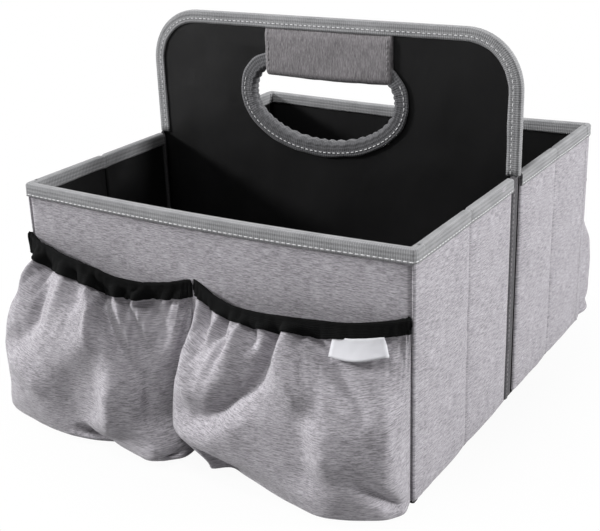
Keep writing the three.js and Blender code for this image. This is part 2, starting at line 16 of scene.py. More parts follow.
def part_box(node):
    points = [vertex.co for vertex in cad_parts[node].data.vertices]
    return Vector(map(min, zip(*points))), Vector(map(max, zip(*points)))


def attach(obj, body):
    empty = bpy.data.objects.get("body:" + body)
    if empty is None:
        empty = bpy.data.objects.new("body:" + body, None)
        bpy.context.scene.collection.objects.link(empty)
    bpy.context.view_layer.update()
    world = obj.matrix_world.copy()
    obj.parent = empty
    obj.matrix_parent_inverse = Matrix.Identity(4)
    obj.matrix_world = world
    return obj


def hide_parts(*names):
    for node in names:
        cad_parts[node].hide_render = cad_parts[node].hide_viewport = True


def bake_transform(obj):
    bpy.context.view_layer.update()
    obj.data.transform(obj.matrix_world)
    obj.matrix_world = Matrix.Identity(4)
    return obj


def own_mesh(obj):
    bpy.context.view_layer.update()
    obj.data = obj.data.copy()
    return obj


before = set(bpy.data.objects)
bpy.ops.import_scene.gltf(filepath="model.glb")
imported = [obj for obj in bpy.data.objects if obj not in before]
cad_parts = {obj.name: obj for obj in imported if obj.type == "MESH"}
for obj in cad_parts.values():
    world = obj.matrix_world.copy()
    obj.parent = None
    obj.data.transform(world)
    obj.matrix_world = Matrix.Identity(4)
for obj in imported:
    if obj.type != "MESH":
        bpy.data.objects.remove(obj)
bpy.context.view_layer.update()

# %% [markdown]
# ## The camera
# The photograph looks down at the box from its front right. A camera could be turned by hand until the
# outlines agree, but its eye point, its two angles, its slight roll and its focal length follow from the
# four rim corners, so the camera is set by those numbers and not by eye.

# %% Camera
AZIMUTH = 0.558
ELEVATION = 0.3716
ROLL = -0.0352
EYE = Vector((0.3772, -0.6427, 0.3633))
FOCAL_PIXELS = 1115.6
IMAGE_PIXELS = 600
SENSOR_WIDTH = 36.0


def camera_axes(azimuth, elevation, roll):
    level = math.cos(elevation)
    forward = Vector((-math.sin(azimuth) * level, math.cos(azimuth) * level, -math.sin(elevation)))
    right = Vector((math.cos(azimuth), math.sin(azimuth), 0))
    up = right.cross(forward)
    turned_right = right * math.cos(roll) + up * math.sin(roll)
    turned_up = up * math.cos(roll) - right * math.sin(roll)
    return turned_right, turned_up, forward


def add_camera():
    right, up, forward = camera_axes(AZIMUTH, ELEVATION, ROLL)
    data = bpy.data.cameras.new("photo_camera")
    data.sensor_width = SENSOR_WIDTH
    data.lens = FOCAL_PIXELS / IMAGE_PIXELS * SENSOR_WIDTH
    camera = bpy.data.objects.new("photo_camera", data)
    bpy.context.scene.collection.objects.link(camera)
    turn = Matrix((right, up, -forward)).transposed().to_4x4()
    camera.matrix_world = Matrix.Translation(EYE) @ turn
    bpy.context.scene.camera = camera
    print("lens:", round(data.lens, 2), "mm")


add_camera()

# %% [markdown]
# ## Writing shaders as sums
# Nodes could be added and linked one by one, but a node tree is easier to read as an expression. `Wire`
# wraps one socket and turns `+`, `-` and `*` into Math nodes. `Finish` holds a material's tree and adds any
# other node with one method: the node's type, its settings, then the values or links of its sockets.

# %% A socket that can be added and multiplied
class Wire:
    def __init__(self, finish, socket):
        self.finish = finish
        self.socket = socket

    def _with(self, operation, first, second):
        settings = {"operation": operation}
        return self.finish.node("ShaderNodeMath", settings, {0: first, 1: second})

    def __add__(self, other):
        return self._with("ADD", self, other)

    __radd__ = __add__

    def __sub__(self, other):
        return self._with("SUBTRACT", self, other)

    def __rsub__(self, other):
        return self._with("SUBTRACT", other, self)

    def __mul__(self, other):
        return self._with("MULTIPLY", self, other)

    __rmul__ = __mul__


class Finish:
    def __init__(self, name, owner=None):
        self.material = owner or bpy.data.materials.new(name)
        self.material.use_nodes = True
        self.tree = self.material.node_tree
        self.surface = None if owner else self.tree.nodes["Principled BSDF"]

    def node(self, kind, settings=None, inputs=None, output=0):
        made = self.tree.nodes.new(kind)
        for key, value in (settings or {}).items():
            if key == "stops":
                ramp = made.color_ramp.elements
                while len(ramp) < len(value):
                    ramp.new(0.5)
                for element, (place, shade) in zip(ramp, value):
                    element.position = place
                    element.color = (shade, shade, shade, 1)
            else:
                setattr(made, key, value)
        self.connect(made, inputs or {})
        return Wire(self, made.outputs[output])

    def connect(self, made, inputs):
        for key, value in inputs.items():
            socket = made.inputs[key]
            if isinstance(value, Wire):
                self.tree.links.new(value.socket, socket)
            else:
                socket.default_value = value

    def surface_inputs(self, **inputs):
        self.connect(self.surface, {key.replace("_", " "): value for key, value in inputs.items()})

    def end_in(self, last, shader):
        self.connect(self.tree.nodes[last], {"Surface": shader})


print("a wire can be added to, taken from and multiplied by a number or a wire")

# %% [markdown]
# ## Cloth co-ordinates
# A weave has to follow the cloth round folds and corners. The object's own co-ordinates would let the
# threads slide through a fold, so every cloth mesh carries a UV map called `cloth`, measured in metres: U
# runs along the warp and V across it. Noise that is stretched along U gives threads.

# %% Shared shader pieces
CLOTH_MAP = "cloth"


def cloth_place(finish, along, across, sideways=0.0):
    """The cloth map stretched by so many repeats per metre along and across it."""
    place = finish.node("ShaderNodeUVMap", {"uv_map": CLOTH_MAP})
    inputs = {"Vector": place, "Scale": (along, across, 1.0), "Location": (sideways, sideways, 0.0)}
    return finish.node("ShaderNodeMapping", {}, inputs)


def thread_noise(finish, along, across, detail=2.0, sideways=0.0):
    settings = {"noise_dimensions": "2D"}
    inputs = {"Vector": cloth_place(finish, along, across, sideways), "Scale": 1.0, "Detail": detail}
    return finish.node("ShaderNodeTexNoise", settings, inputs)


def ribs(finish, per_metre, direction="X"):
    """Smooth ridges across the cloth map, from 0 to 1."""
    settings = {"wave_type": "BANDS", "bands_direction": direction, "wave_profile": "SIN"}
    scale = per_metre * math.pi / 10
    inputs = {"Vector": finish.node("ShaderNodeUVMap", {"uv_map": CLOTH_MAP}), "Scale": scale}
    return finish.node("ShaderNodeTexWave", settings, inputs, output=1)


def blend_colours(finish, share, first, second):
    settings = {"data_type": "RGBA", "blend_type": "MIX"}
    inputs = {0: share, 6: (*first, 1), 7: (*second, 1)}
    return finish.node("ShaderNodeMix", settings, inputs, output=2)


def raised(finish, height, strength, distance):
    inputs = {"Strength": strength, "Distance": distance, "Height": height}
    return finish.node("ShaderNodeBump", {}, inputs)


print("cloth map:", CLOTH_MAP)

# %% [markdown]
# ## Heather cloth
# The outer cloth is a plain weave of grey yarns, some dark and some pale, so it shows short level streaks.
# A picture of cloth would show its tile edges, so the cloth is worked out: two stretched noises make the
# streaks, a crossed pair of fine ribs makes the weave, and a broad noise keeps large areas from looking
# even.

# %% Heather cloth
YARNS_PER_METRE = 2300
LONG_STREAKS = (150.0, 1500.0)
SHORT_STREAKS = (480.0, 2700.0)
MOTTLE = (40.0, 70.0)
STREAK_CONTRAST = 2.9


def heather_cloth(name, dark, pale):
    finish = Finish(name)
    long_yarns = thread_noise(finish, *LONG_STREAKS)
    short_yarns = thread_noise(finish, *SHORT_STREAKS, sideways=7.0)
    mottle = thread_noise(finish, *MOTTLE, sideways=3.0)
    weave = ribs(finish, YARNS_PER_METRE, "X") * ribs(finish, YARNS_PER_METRE, "Y")
    streaks = long_yarns * 0.55 + short_yarns * 0.45
    shade = (streaks - 0.5) * STREAK_CONTRAST + (mottle - 0.5) * 0.3 + weave * 0.2 + 0.4
    limits = {"stops": [(0.0, 0.0), (1.0, 1.0)]}
    held = finish.node("ShaderNodeValToRGB", limits, {"Fac": shade})
    height = weave * 0.5 + streaks * 0.5
    finish.surface_inputs(
        Base_Color=blend_colours(finish, held, dark, pale),
        Roughness=0.92,
        Specular_IOR_Level=0.2,
        Sheen_Weight=0.15,
        Normal=raised(finish, height, 0.5, 0.0004),
    )
    return finish.material


outer_cloth = heather_cloth("outer_cloth", (0.195, 0.186, 0.201), (0.505, 0.484, 0.520))
print("made", outer_cloth.name)

# %% [markdown]
# ## Ribbed tape, elastic, lining and label
# The binding is a ribbed polyester tape with ribs across it and rows along it. The elastic is black with
# fine lengthwise ribs, the lining is a smooth black cloth that is a little glossy, and the label is white
# satin. One shared cloth material would look dull on all of them, so each has its own short function from
# the same pieces.

# %% Tapes and linings
TAPE_RIBS_PER_METRE = 690
TAPE_ROWS_PER_METRE = 400
LINING_THREADS = 3000
ELASTIC_RIBS = 1100
ELASTIC_KNIT = 1700
SATIN_THREADS = 2400


def ribbed_tape(name, dark, pale):
    finish = Finish(name)
    across = ribs(finish, TAPE_RIBS_PER_METRE, "X")
    rows = ribs(finish, TAPE_ROWS_PER_METRE, "Y")
    fine = thread_noise(finish, 1900.0, 900.0, 2.0)
    uneven = thread_noise(finish, 60.0, 90.0, 2.0, 5.0)
    shade = across * 0.3 + rows * 0.3 + fine * 0.55 + (uneven - 0.5) * 0.5 - 0.08
    finish.surface_inputs(
        Base_Color=blend_colours(finish, shade, dark, pale),
        Roughness=0.82,
        Specular_IOR_Level=0.3,
        Sheen_Weight=0.1,
        Normal=raised(finish, across * 0.5 + rows * 0.4 + fine * 0.2, 0.55, 0.0005),
    )
    return finish.material


def smooth_black(name, base, roughness, wrinkle):
    finish = Finish(name)
    weave = ribs(finish, LINING_THREADS, "X") * ribs(finish, LINING_THREADS, "Y")
    soft = thread_noise(finish, 22.0, 14.0, 4.0)
    shade = soft * 0.7 + weave * 0.3
    pale = tuple(value * 1.9 for value in base)
    finish.surface_inputs(
        Base_Color=blend_colours(finish, shade, base, pale),
        Roughness=roughness + (soft - 0.5) * 0.15,
        Specular_IOR_Level=0.12,
        Normal=raised(finish, soft * wrinkle + weave * 0.02, 0.6, 0.004),
    )
    return finish.material


def ribbed_elastic(name):
    finish = Finish(name)
    along = ribs(finish, ELASTIC_RIBS, "Y")
    knit = ribs(finish, ELASTIC_KNIT, "X")
    shade = along * 0.6 + knit * 0.4
    finish.surface_inputs(
        Base_Color=blend_colours(finish, shade, (0.0015, 0.0015, 0.0015), (0.0075, 0.0078, 0.0080)),
        Roughness=0.92,
        Specular_IOR_Level=0.06,
        Normal=raised(finish, shade, 0.6, 0.0005),
    )
    return finish.material


def satin_label(name):
    finish = Finish(name)
    along = ribs(finish, SATIN_THREADS, "Y")
    soft = thread_noise(finish, 120.0, 90.0, 2.0)
    shade = along * 0.6 + soft * 0.4
    finish.surface_inputs(
        Base_Color=blend_colours(finish, shade, (0.50, 0.50, 0.53), (0.58, 0.58, 0.61)),
        Roughness=0.5,
        Normal=raised(finish, along, 0.3, 0.0003),
    )
    return finish.material


def plain_thread(name, colour):
    finish = Finish(name)
    twist = thread_noise(finish, 900.0, 900.0, 1.0)
    finish.surface_inputs(
        Base_Color=blend_colours(finish, twist, tuple(value * 0.85 for value in colour), colour),
        Roughness=0.7,
    )
    return finish.material


binding_tape = ribbed_tape("binding_tape", (0.118, 0.120, 0.125), (0.345, 0.345, 0.353))
lining_cloth = smooth_black("lining_cloth", (0.0032, 0.0032, 0.0034), 0.48, 0.5)
base_cloth = smooth_black("base_cloth", (0.005, 0.005, 0.005), 0.85, 0.3)
elastic_ribs = ribbed_elastic("elastic")
label_cloth = satin_label("label_cloth")
pale_thread = plain_thread("pale_thread", (0.66, 0.66, 0.67))
grey_thread = plain_thread("grey_thread", (0.30, 0.29, 0.30))
print("materials:", len(bpy.data.materials))

# %% [markdown]
# ## Meshes from grids
# Almost every piece of a sewn box is a strip or a sheet. Each could be modelled from a plane with
# modifiers, but both are grids of points: rows across, columns along. One helper turns a function of two
# numbers into such a mesh and measures the cloth map as it goes. The second helper gives a sheet its
# thickness. A mirror of (x, y) signs makes the other three quarters of the box.

# %% Grid meshes
def mesh_object(name, points, faces, places, material):
    mesh = bpy.data.meshes.new(name)
    mesh.from_pydata(points, [], faces)
    layer = mesh.uv_layers.new(name=CLOTH_MAP)
    corners = [places[loop.vertex_index] for loop in mesh.loops]
    layer.data.foreach_set("uv", np.array(corners, np.float32).ravel())
    mesh.polygons.foreach_set("use_smooth", [True] * len(mesh.polygons))
    mesh.materials.append(material)
    made = bpy.data.objects.new(name, mesh)
    bpy.context.scene.collection.objects.link(made)
    return made


def running_length(points):
    steps = np.linalg.norm(np.diff(np.array(points, float), axis=0), axis=1)
    return np.concatenate([[0.0], np.cumsum(steps)])


def grid_sheet(
    name, material, columns, rows, at, mirror=(1, 1), closed=False, measured=None, turned_cloth=False
):
    """A mesh of at(column, row) points. Its faces look along columns x rows before mirroring."""
    table = [[Vector(at(c, r)) for r in rows] for c in columns]
    along = running_length([line[len(rows) // 2 if measured is None else measured] for line in table])
    across = running_length(table[len(columns) // 2])
    points = [(p.x * mirror[0], p.y * mirror[1], p.z) for line in table for p in line]
    places = [(v, u) if turned_cloth else (u, v) for u in along for v in across]
    count = len(rows)
    turned = mirror[0] * mirror[1] < 0
    faces = []
    for i in range(len(columns) if closed else len(columns) - 1):
        for j in range(count - 1):
            a, b = i * count + j, (i + 1) % len(columns) * count + j
            face = (a, b, b + 1, a + 1)
            faces.append(face[::-1] if turned else face)
    return mesh_object(name, points, faces, places, material)


def apply_modifiers(obj):
    graph = bpy.context.evaluated_depsgraph_get()
    mesh = bpy.data.meshes.new_from_object(obj.evaluated_get(graph))
    obj.modifiers.clear()
    obj.data = mesh
    return obj


def thicken(obj, thickness, offset=-1.0):
    """Gives a sheet its thickness, behind its face when offset is -1."""
    solid = obj.modifiers.new("thickness", "SOLIDIFY")
    solid.thickness = thickness
    solid.offset = offset
    solid.use_even_offset = False
    return apply_modifiers(obj)


def spread(low, high, count):
    return list(np.linspace(low, high, count))


def edged(low, high, count, roll):
    """Places from low to high that crowd together near both ends, where cloth turns over an edge."""
    near = [0, 0.05, 0.17, 0.35, 0.6, 1.0]
    start = [low + roll * step for step in near]
    end = [high - roll * step for step in reversed(near)]
    return start + spread(start[-1], end[0], count)[1:-1] + end


def within(value, low=0.0, high=1.0):
    return min(max(value, low), high)


def rolled(distance, radius):
    """How far out a cloth edge has come, 0 to 1, at a distance from the edge: a quarter circle."""
    inside = within(distance / radius)
    return math.sqrt(max(0.0, 1 - (1 - inside) ** 2))


def dip(distance, width):
    return math.exp(-((distance / width) ** 2))


def unevenness(x, y, z, size, seed=0.0):
    """Soft noise from about -1 to 1, with lumps of this size."""
    return noise.fractal(Vector((x / size + seed, y / size, z / size)), 1.0, 2.0, 3)


print("places along a 10 mm strip with rolled edges:", len(edged(0, 0.010, 4, 0.002)))

# %% [markdown]
# ## Rows of stitches
# Lockstitches show as short raised dashes. Bump could draw them, but a bead catches the light at the edge
# of the tape as thread does. Each stitch is a small bead, long and six-sided, sunk a little into the tape.
# They are built together from a path and its outward directions, one mesh for a whole row.

# %% Stitches
STITCH_LENGTH = 0.0024
STITCH_PITCH = 0.0036
STITCH_WIDTH = 0.00075
BEAD_RINGS = [(-0.5, 0.25), (-0.3, 0.9), (0.3, 0.9), (0.5, 0.25)]
BEAD_SIDES = 6
BEAD_FLATNESS = 0.6


def stitch_row(name, path, outwards, material=None, pitch=STITCH_PITCH, length=STITCH_LENGTH):
    """Beads along a path of points, each lying square to its outward direction."""
    path = [Vector(p) for p in path]
    outwards = [Vector(v).normalized() for v in outwards]
    total = running_length(path)
    points, faces = [], []
    for k in range(int(total[-1] / pitch)):
        reach = (k + 0.5) * pitch
        i = min(int(np.searchsorted(total, reach)), len(path) - 1)
        share = (reach - total[i - 1]) / max(total[i] - total[i - 1], 1e-9)
        middle = path[i - 1].lerp(path[i], share)
        along = (path[i] - path[i - 1]).normalized()
        out = outwards[i - 1].lerp(outwards[i], share).normalized()
        side = along.cross(out).normalized()
        start = len(points)
        for ahead, swell in BEAD_RINGS:
            for corner in range(BEAD_SIDES):
                angle = 2 * math.pi * corner / BEAD_SIDES
                ring = side * math.cos(angle) + out * math.sin(angle) * BEAD_FLATNESS
                points.append(middle + along * ahead * length + ring * swell * STITCH_WIDTH / 2)
        for ring in range(len(BEAD_RINGS) - 1):
            for corner in range(BEAD_SIDES):
                a = start + ring * BEAD_SIDES + corner
                b = start + ring * BEAD_SIDES + (corner + 1) % BEAD_SIDES
                faces.append((a, b, b + BEAD_SIDES, a + BEAD_SIDES))
        last = start + BEAD_SIDES * (len(BEAD_RINGS) - 1)
        faces.append(tuple(start + corner for corner in reversed(range(BEAD_SIDES))))
        faces.append(tuple(last + corner for corner in range(BEAD_SIDES)))
    return mesh_object(name, points, faces, [(p.x, p.z) for p in points], material or pale_thread)


def mirrored(points, mirror):
    return [(x * mirror[0], y * mirror[1], z) for x, y, z in points]


print("stitches in 100 mm:", int(0.1 / STITCH_PITCH))

# %% [markdown]
# ## The four quarters
# The front half of the box is the back half seen in a mirror, and the left walls mirror the right ones.
# Drawing all four by hand would let them drift apart, so a quarter is drawn once, on the right-hand side
# behind the divider, from the frame's own boxes.

# %% Sizes read from the frame
def far_box(node):
    """A node's box in the quarter to the right and behind: lowest and highest distances from the middle."""
    low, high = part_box(node)
    xs = sorted((abs(low.x), abs(high.x)))
    ys = sorted((abs(low.y), abs(high.y)))
    return Vector((xs[0], ys[0], low.z)), Vector((xs[1], ys[1], high.z))


HALVES = {"front": -1, "back": 1}
SIDES = {"left": -1, "right": 1}
inner_low, inner_high = far_box("back_right_inner_cover")
outer_low, outer_high = far_box("back_right_outer_cover")
tape_low, tape_high = far_box("back_right_inner_rim_tape")
wall_in, wall_out = inner_low.x, inner_high.x
wall_start, wall_end = inner_low.y, outer_high.y
crease = (inner_high.y + outer_low.y) / 2
foot = 0.0005
wall_top = inner_high.z
rim = tape_high.z
tape_face = tape_high.z - tape_low.z
tape_out, tape_in = tape_high.x, tape_low.x
lining_face = far_box("back_right_inner_lining")[0].x
panel_low, panel_high = far_box("back_panel_cover")
panel_out = panel_high.y
corner_end = panel_low.y
panel_lining_face = far_box("back_panel_lining")[0].y
print("wall cloth from", round(wall_start, 4), "to", round(wall_end, 4), "crease at", round(crease, 4))

# %% [markdown]
# ## Side walls
# Each side wall is one sheet of cloth over two boards, with a crease between them. Over a board the cloth
# stands slightly proud, at the crease it sinks, and at each end and along the foot it turns round the edge.
# Two stiff sheets would part at the crease, so the wall is one piece.

# %% Side wall cloth
WALL_PILLOW = 0.0016
CREASE_DEPTH = 0.0007
CREASE_WIDTH = 0.0012
SLOPE = 0.020
EDGE_ROLL = 0.0024
RIPPLE = 0.00035
RIPPLE_SIZE = 0.022
RIPPLE_FADE = 0.010
CORNER_RADIUS = 0.002
CREASE_REACH = 0.002
FOOT_FULLNESS = 0.35
WALL_COLUMNS, WALL_ROWS = 20, 34


def height_share(z):
    return within((z - foot) / (rim - foot))


def wall_swell(y, z):
    """How far the cloth stands off its boards: full over the middle of each board, none at its edges."""
    start, end = (wall_start, crease) if y < crease else (crease, panel_out - CORNER_RADIUS)
    near = within(min(y - start, end - y) / SLOPE)
    up = math.sin(math.pi * height_share(z)) ** 0.5
    return WALL_PILLOW * (1 - (1 - near) ** 2) * (FOOT_FULLNESS + (1 - FOOT_FULLNESS) * up)


def wall_face(seed):
    def at(y, z):
        edge = min(y - wall_start, wall_end - y)
        out = rolled(edge, EDGE_ROLL) * rolled(z - foot, EDGE_ROLL)
        swell = wall_swell(y, z) - CREASE_DEPTH * dip(y - crease, CREASE_WIDTH)
        swell += RIPPLE * unevenness(0, y, z, RIPPLE_SIZE, seed) * min(edge / RIPPLE_FADE, 1)
        return (wall_in + (wall_out - wall_in) * out + swell * out, y, z)

    return at


def side_wall(half, side):
    mirror = (SIDES[side], HALVES[half])
    seed = 3.1 * mirror[0] + 7.7 * mirror[1]
    places = edged(wall_start, crease, WALL_COLUMNS, EDGE_ROLL)[:-1]
    places += edged(crease, wall_end, WALL_COLUMNS, EDGE_ROLL)
    heights = edged(foot, wall_top, WALL_ROWS, EDGE_ROLL)
    name = f"{half}_{side}_wall_cloth"
    cloth = grid_sheet(name, outer_cloth, places, heights, wall_face(seed), mirror)
    start, end = mirrored(
        [(wall_out, crease - CREASE_REACH, foot), (wall_out, crease + CREASE_REACH, foot)], mirror
    )
    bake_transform(cloth)
    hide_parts(f"{half}_{side}_inner_cover", f"{half}_{side}_outer_cover")
    return cloth


side_walls = [side_wall(half, side) for half in HALVES for side in SIDES]
print("side wall sheets:", len(side_walls))

# %% [markdown]
# ## Wall linings
# Inside, each board is covered in black lining. One long lining would have to slide over the crease, so
# each board gets its own piece that turns round the board's edges, and an open fold shows lined edges and
# not raw board.

# %% Wall linings
LINING_DEPTH = 0.0024
LINING_PILLOW = 0.0006
LINING_WAVE = 0.0005
LINING_FADE = 0.008
LINING_SINK = 0.0002
UNDER_TAPE = 0.012
LINING_WAVE_SIZE = 0.03
LINING_COLUMNS, LINING_ROWS = 14, 20


def under_tape(z):
    """One over most of a wall and zero behind the rim tape, which holds the lining flat."""
    return within((rim - tape_face - z) / UNDER_TAPE)


def lining_at(near, far, seed):
    def at(y, z):
        edge = min(y - near, far - y)
        out = rolled(edge, EDGE_ROLL) * rolled(z - foot, EDGE_ROLL)
        soft = LINING_PILLOW * math.sin(math.pi * (y - near) / (far - near)) ** 0.6
        soft += LINING_WAVE * unevenness(1, y, z, LINING_WAVE_SIZE, seed) * min(edge / LINING_FADE, 1)
        soft = max(soft * under_tape(z), -LINING_SINK)
        return (lining_face + LINING_DEPTH * (1 - out) - soft * out, y, z)

    return at


def wall_lining(half, side, strip):
    node = f"{half}_{side}_{strip}_lining"
    low, high = far_box(node)
    mirror = (SIDES[side], HALVES[half])
    near, far = (low.y, crease) if strip == "inner" else (crease, high.y)
    columns = edged(near, far, LINING_COLUMNS, EDGE_ROLL)[::-1]
    rows = edged(foot, wall_top, LINING_ROWS, EDGE_ROLL)
    seed = len(node) + 2.3 * mirror[0] + 5.1 * mirror[1]
    sheet = grid_sheet(f"{node}_cloth", lining_cloth, columns, rows, lining_at(near, far, seed), mirror)
    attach(sheet, f"{half}_{side}_{strip}_wall")
    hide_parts(node)
    return sheet


STRIPS = ("inner", "outer")
linings = [wall_lining(h, s, strip) for h in HALVES for s in SIDES for strip in STRIPS]
print("wall linings:", len(linings))

# %% [markdown]
# ## Rim tape
# The tape is folded over the rim, so its section is an upturned U. A curve with a bevel would give the U,
# but not the waver of a sewn edge, so the section is swept by a function that also pinches it where the
# wall creases. Its stitches run near the lower edge.

# %% Rim tape along the side walls
TAPE_THICKNESS = 0.0008
FOLD_RADIUS = 0.0017
TAPE_WAVER = 0.0003
TAPE_EDGE_WAVER = 0.0004
TAPE_FOLLOW = 0.45
PINCH_WIDTH = 0.0016
PINCH_DEPTH = 0.0007
PINCH_DROP = 0.0006
PINCH_REACH = 0.0015
WAVER_SIZE = 0.02
TAPE_COLUMNS = 16
TAPE_END = 0.003
STITCH_END = 0.001
RIM_PATH_POINTS = 60


def folded_section(half_width, face):
    """An upturned U as points (outwards, upwards) from the rim, from the foot of its outer leg."""
    leg = [(half_width, -face + (face - FOLD_RADIUS) * step / 5) for step in range(6)]
    angles = [math.pi / 2 * step / 4 for step in range(1, 5)]
    bend = [
        (half_width - FOLD_RADIUS * (1 - math.cos(angle)), -FOLD_RADIUS * (1 - math.sin(angle)))
        for angle in angles
    ]
    outer = leg + bend
    return outer + [(-out, up) for out, up in reversed(outer)]


STITCHED_ROW = 1
tape_middle = (tape_out + tape_in) / 2
tape_section = folded_section((tape_out - tape_in) / 2, tape_face)


def side_tape(half, side):
    mirror = (SIDES[side], HALVES[half])
    seed = 1.7 * mirror[0] + 4.9 * mirror[1]

    def at(y, k):
        out, up = tape_section[int(k)]
        low = -up / tape_face
        waver = unevenness(2, y, k, WAVER_SIZE, seed)
        pinch = dip(y - crease, PINCH_WIDTH)
        bow = TAPE_WAVER * waver * low + TAPE_FOLLOW * wall_swell(y, rim - tape_face) * low
        side_out = (abs(out) - PINCH_DEPTH * pinch + bow * (out > 0)) * (1 if out > 0 else -1)
        height = rim + up - PINCH_DROP * pinch + TAPE_EDGE_WAVER * waver * low
        return (tape_middle + side_out, y, height)

    columns = edged(wall_start, crease, TAPE_COLUMNS, TAPE_END)[:-1]
    columns += edged(crease, wall_end, TAPE_COLUMNS, TAPE_END)
    name, rows = f"{half}_{side}_rim_binding", range(len(tape_section))
    tape = grid_sheet(name, binding_tape, columns, rows, at, mirror)
    thicken(tape, TAPE_THICKNESS)
    places = spread(wall_start + STITCH_END, wall_end - STITCH_END, RIM_PATH_POINTS)
    path = [at(y, STITCHED_ROW) for y in places]
    outwards = [(mirror[0], 0, 0)] * len(path)
    thread = stitch_row(f"{half}_{side}_rim_stitches", mirrored(path, mirror), outwards)
    start, end = mirrored(
        [(wall_out, crease - PINCH_REACH, rim), (wall_out, crease + PINCH_REACH, rim)], mirror
    )
    for piece in (tape, thread):
        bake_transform(piece)
    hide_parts(f"{half}_{side}_inner_rim_tape", f"{half}_{side}_outer_rim_tape")
    return tape


side_tapes = [side_tape(half, side) for half in HALVES for side in SIDES]
print("side tapes:", len(side_tapes))

# %% [markdown]
# ## End panels
# The end panel's cloth runs from one side wall to the other and turns both corners, where it laps a few
# millimetres over the side cloth, so no gap shows until the box is folded. The seam to the side cloth is
# just inside each corner, so a fine groove runs down the panel there. The cloth and its rim tape could each
# be bent round the corners, but they would not agree: the path is worked out once, as points with outward
# directions, and both follow it.

# %% The path round an end panel
LAP = 0.0034
LAP_STAND = 0.00015
SEAM_INSET = 0.0003
SEAM_DEPTH = 0.0011
SEAM_WIDTH = 0.0009
PANEL_PILLOW = 0.0013
PANEL_WAVE = 0.0004
PANEL_TUCK = 0.0035
RIM_BOW = 0.0010
RIM_SAG = 0.0020
SQUARE_ON = 0.9
SEAM_POINTS = (0, 0.0004, 0.001, 0.0022)
CORNER_STEPS = 8


def panel_path(count):
    """Points and outward directions from the right-hand wall, round both corners, to the left-hand wall."""
    half = wall_out
    side = [((half, y), (1, 0)) for y in spread(corner_end - LAP, panel_out - CORNER_RADIUS, 7)]
    corner = []
    centre_x, centre_y = half - CORNER_RADIUS, panel_out - CORNER_RADIUS
    for step in range(1, CORNER_STEPS + 1):
        angle = math.pi / 2 * step / CORNER_STEPS
        ahead, back = math.cos(angle), math.sin(angle)
        place = (centre_x + CORNER_RADIUS * ahead, centre_y + CORNER_RADIUS * back)
        corner.append((place, (ahead, back)))
    front = [panel_seam - inset for inset in SEAM_POINTS]
    right = side + corner + [((x, panel_out), (0, 1)) for x in front]
    middle = [((x, panel_out), (0, 1)) for x in spread(front[-1] - 0.002, 0, count // 2)[:-1]]
    quarter = right + middle
    other = [((-p[0], p[1]), (-n[0], n[1])) for p, n in reversed(quarter)]
    return quarter + [((0, panel_out), (0, 1))] + other


def bowed(x):
    """One in the middle of a panel and zero at its seams."""
    return max(0.0, math.cos(math.pi / 2 * min(abs(x) / panel_seam, 1)))


panel_seam = wall_out - CORNER_RADIUS - SEAM_INSET
panel_points = panel_path(64)
print("points round a panel:", len(panel_points))

# %% [markdown]
# ### Panel cloth and panel lining
# The cloth bellies out a little over its board and bows outwards at the rim, where it also sags, because
# the tape alone holds it there. The lining fills the panel inside and turns each corner as far as the side
# wall. A flat sheet would leave the corner open to the light, and a corner seen from above is black.

# %% Panel cloth and panel lining
PANEL_WAVE_SIZE = 0.03
PANEL_ROWS = 40


def panel_cloth(half):
    mirror = (1, HALVES[half])
    seed = 11.3 * HALVES[half]

    def at(k, z):
        (x, y), (out_x, out_y) = panel_points[int(k)]
        flat = bowed(x)
        rise = height_share(z)
        up = math.sin(math.pi * rise) ** 0.6
        swell = (PANEL_PILLOW * flat ** 0.5 * up + RIM_BOW * flat * rise**2) * (out_y > SQUARE_ON)
        swell -= SEAM_DEPTH * dip(abs(x) - panel_seam, SEAM_WIDTH) * (out_y > SQUARE_ON)
        swell += PANEL_WAVE * unevenness(x, 3, z, PANEL_WAVE_SIZE, seed) * min(flat * 4, 1)
        if abs(out_x) > SQUARE_ON:
            swell += wall_swell(y, z) + LAP_STAND
        tuck = (1 - rolled(z - foot, EDGE_ROLL)) * PANEL_TUCK
        return (x + out_x * (swell - tuck), y + out_y * (swell - tuck), z - RIM_SAG * flat * rise**8)

    rows = edged(foot, wall_top, PANEL_ROWS, EDGE_ROLL)
    cloth = grid_sheet(f"{half}_panel_cloth", outer_cloth, range(len(panel_points)), rows, at, mirror)
    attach(cloth, f"{half}_panel")
    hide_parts(f"{half}_panel_cover")


LINING_REACH = wall_out - 0.00045
LINING_TURN = panel_lining_face - wall_end - 0.0002
LINING_DROP = 0.0008
LINING_CORNER = 0.003
PANEL_LINING_COLUMNS, PANEL_LINING_ROWS = 44, 22


def panel_lining(half):
    mirror = (1, HALVES[half])

    def at(s, z):
        x = within(s, -LINING_REACH, LINING_REACH)
        turned = abs(s) - abs(x)
        out = rolled(z - foot, EDGE_ROLL)
        soft = LINING_PILLOW * max(math.cos(math.pi / 2 * x / LINING_REACH), 0) ** 0.5
        fade = min((LINING_REACH - abs(x)) / LINING_FADE, 1)
        soft += LINING_WAVE * unevenness(x, 4, z, 0.035, 8.0 * HALVES[half]) * fade
        soft = max(soft * under_tape(z), -LINING_SINK)
        drop = (RIM_SAG + LINING_DROP) * bowed(x) * height_share(z) ** 8
        return (x, panel_lining_face + LINING_DEPTH * (1 - out) - soft * out - turned, z - drop)

    side = [LINING_REACH + LINING_TURN, LINING_REACH + LINING_TURN / 2, LINING_REACH]
    flat = LINING_REACH - LINING_CORNER
    columns = [-s for s in side] + spread(-flat, flat, PANEL_LINING_COLUMNS) + side[::-1]
    rows = edged(foot, wall_top, PANEL_LINING_ROWS, EDGE_ROLL)
    sheet = grid_sheet(f"{half}_panel_lining_cloth", lining_cloth, columns, rows, at, mirror)
    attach(sheet, f"{half}_panel")
    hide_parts(f"{half}_panel_lining")


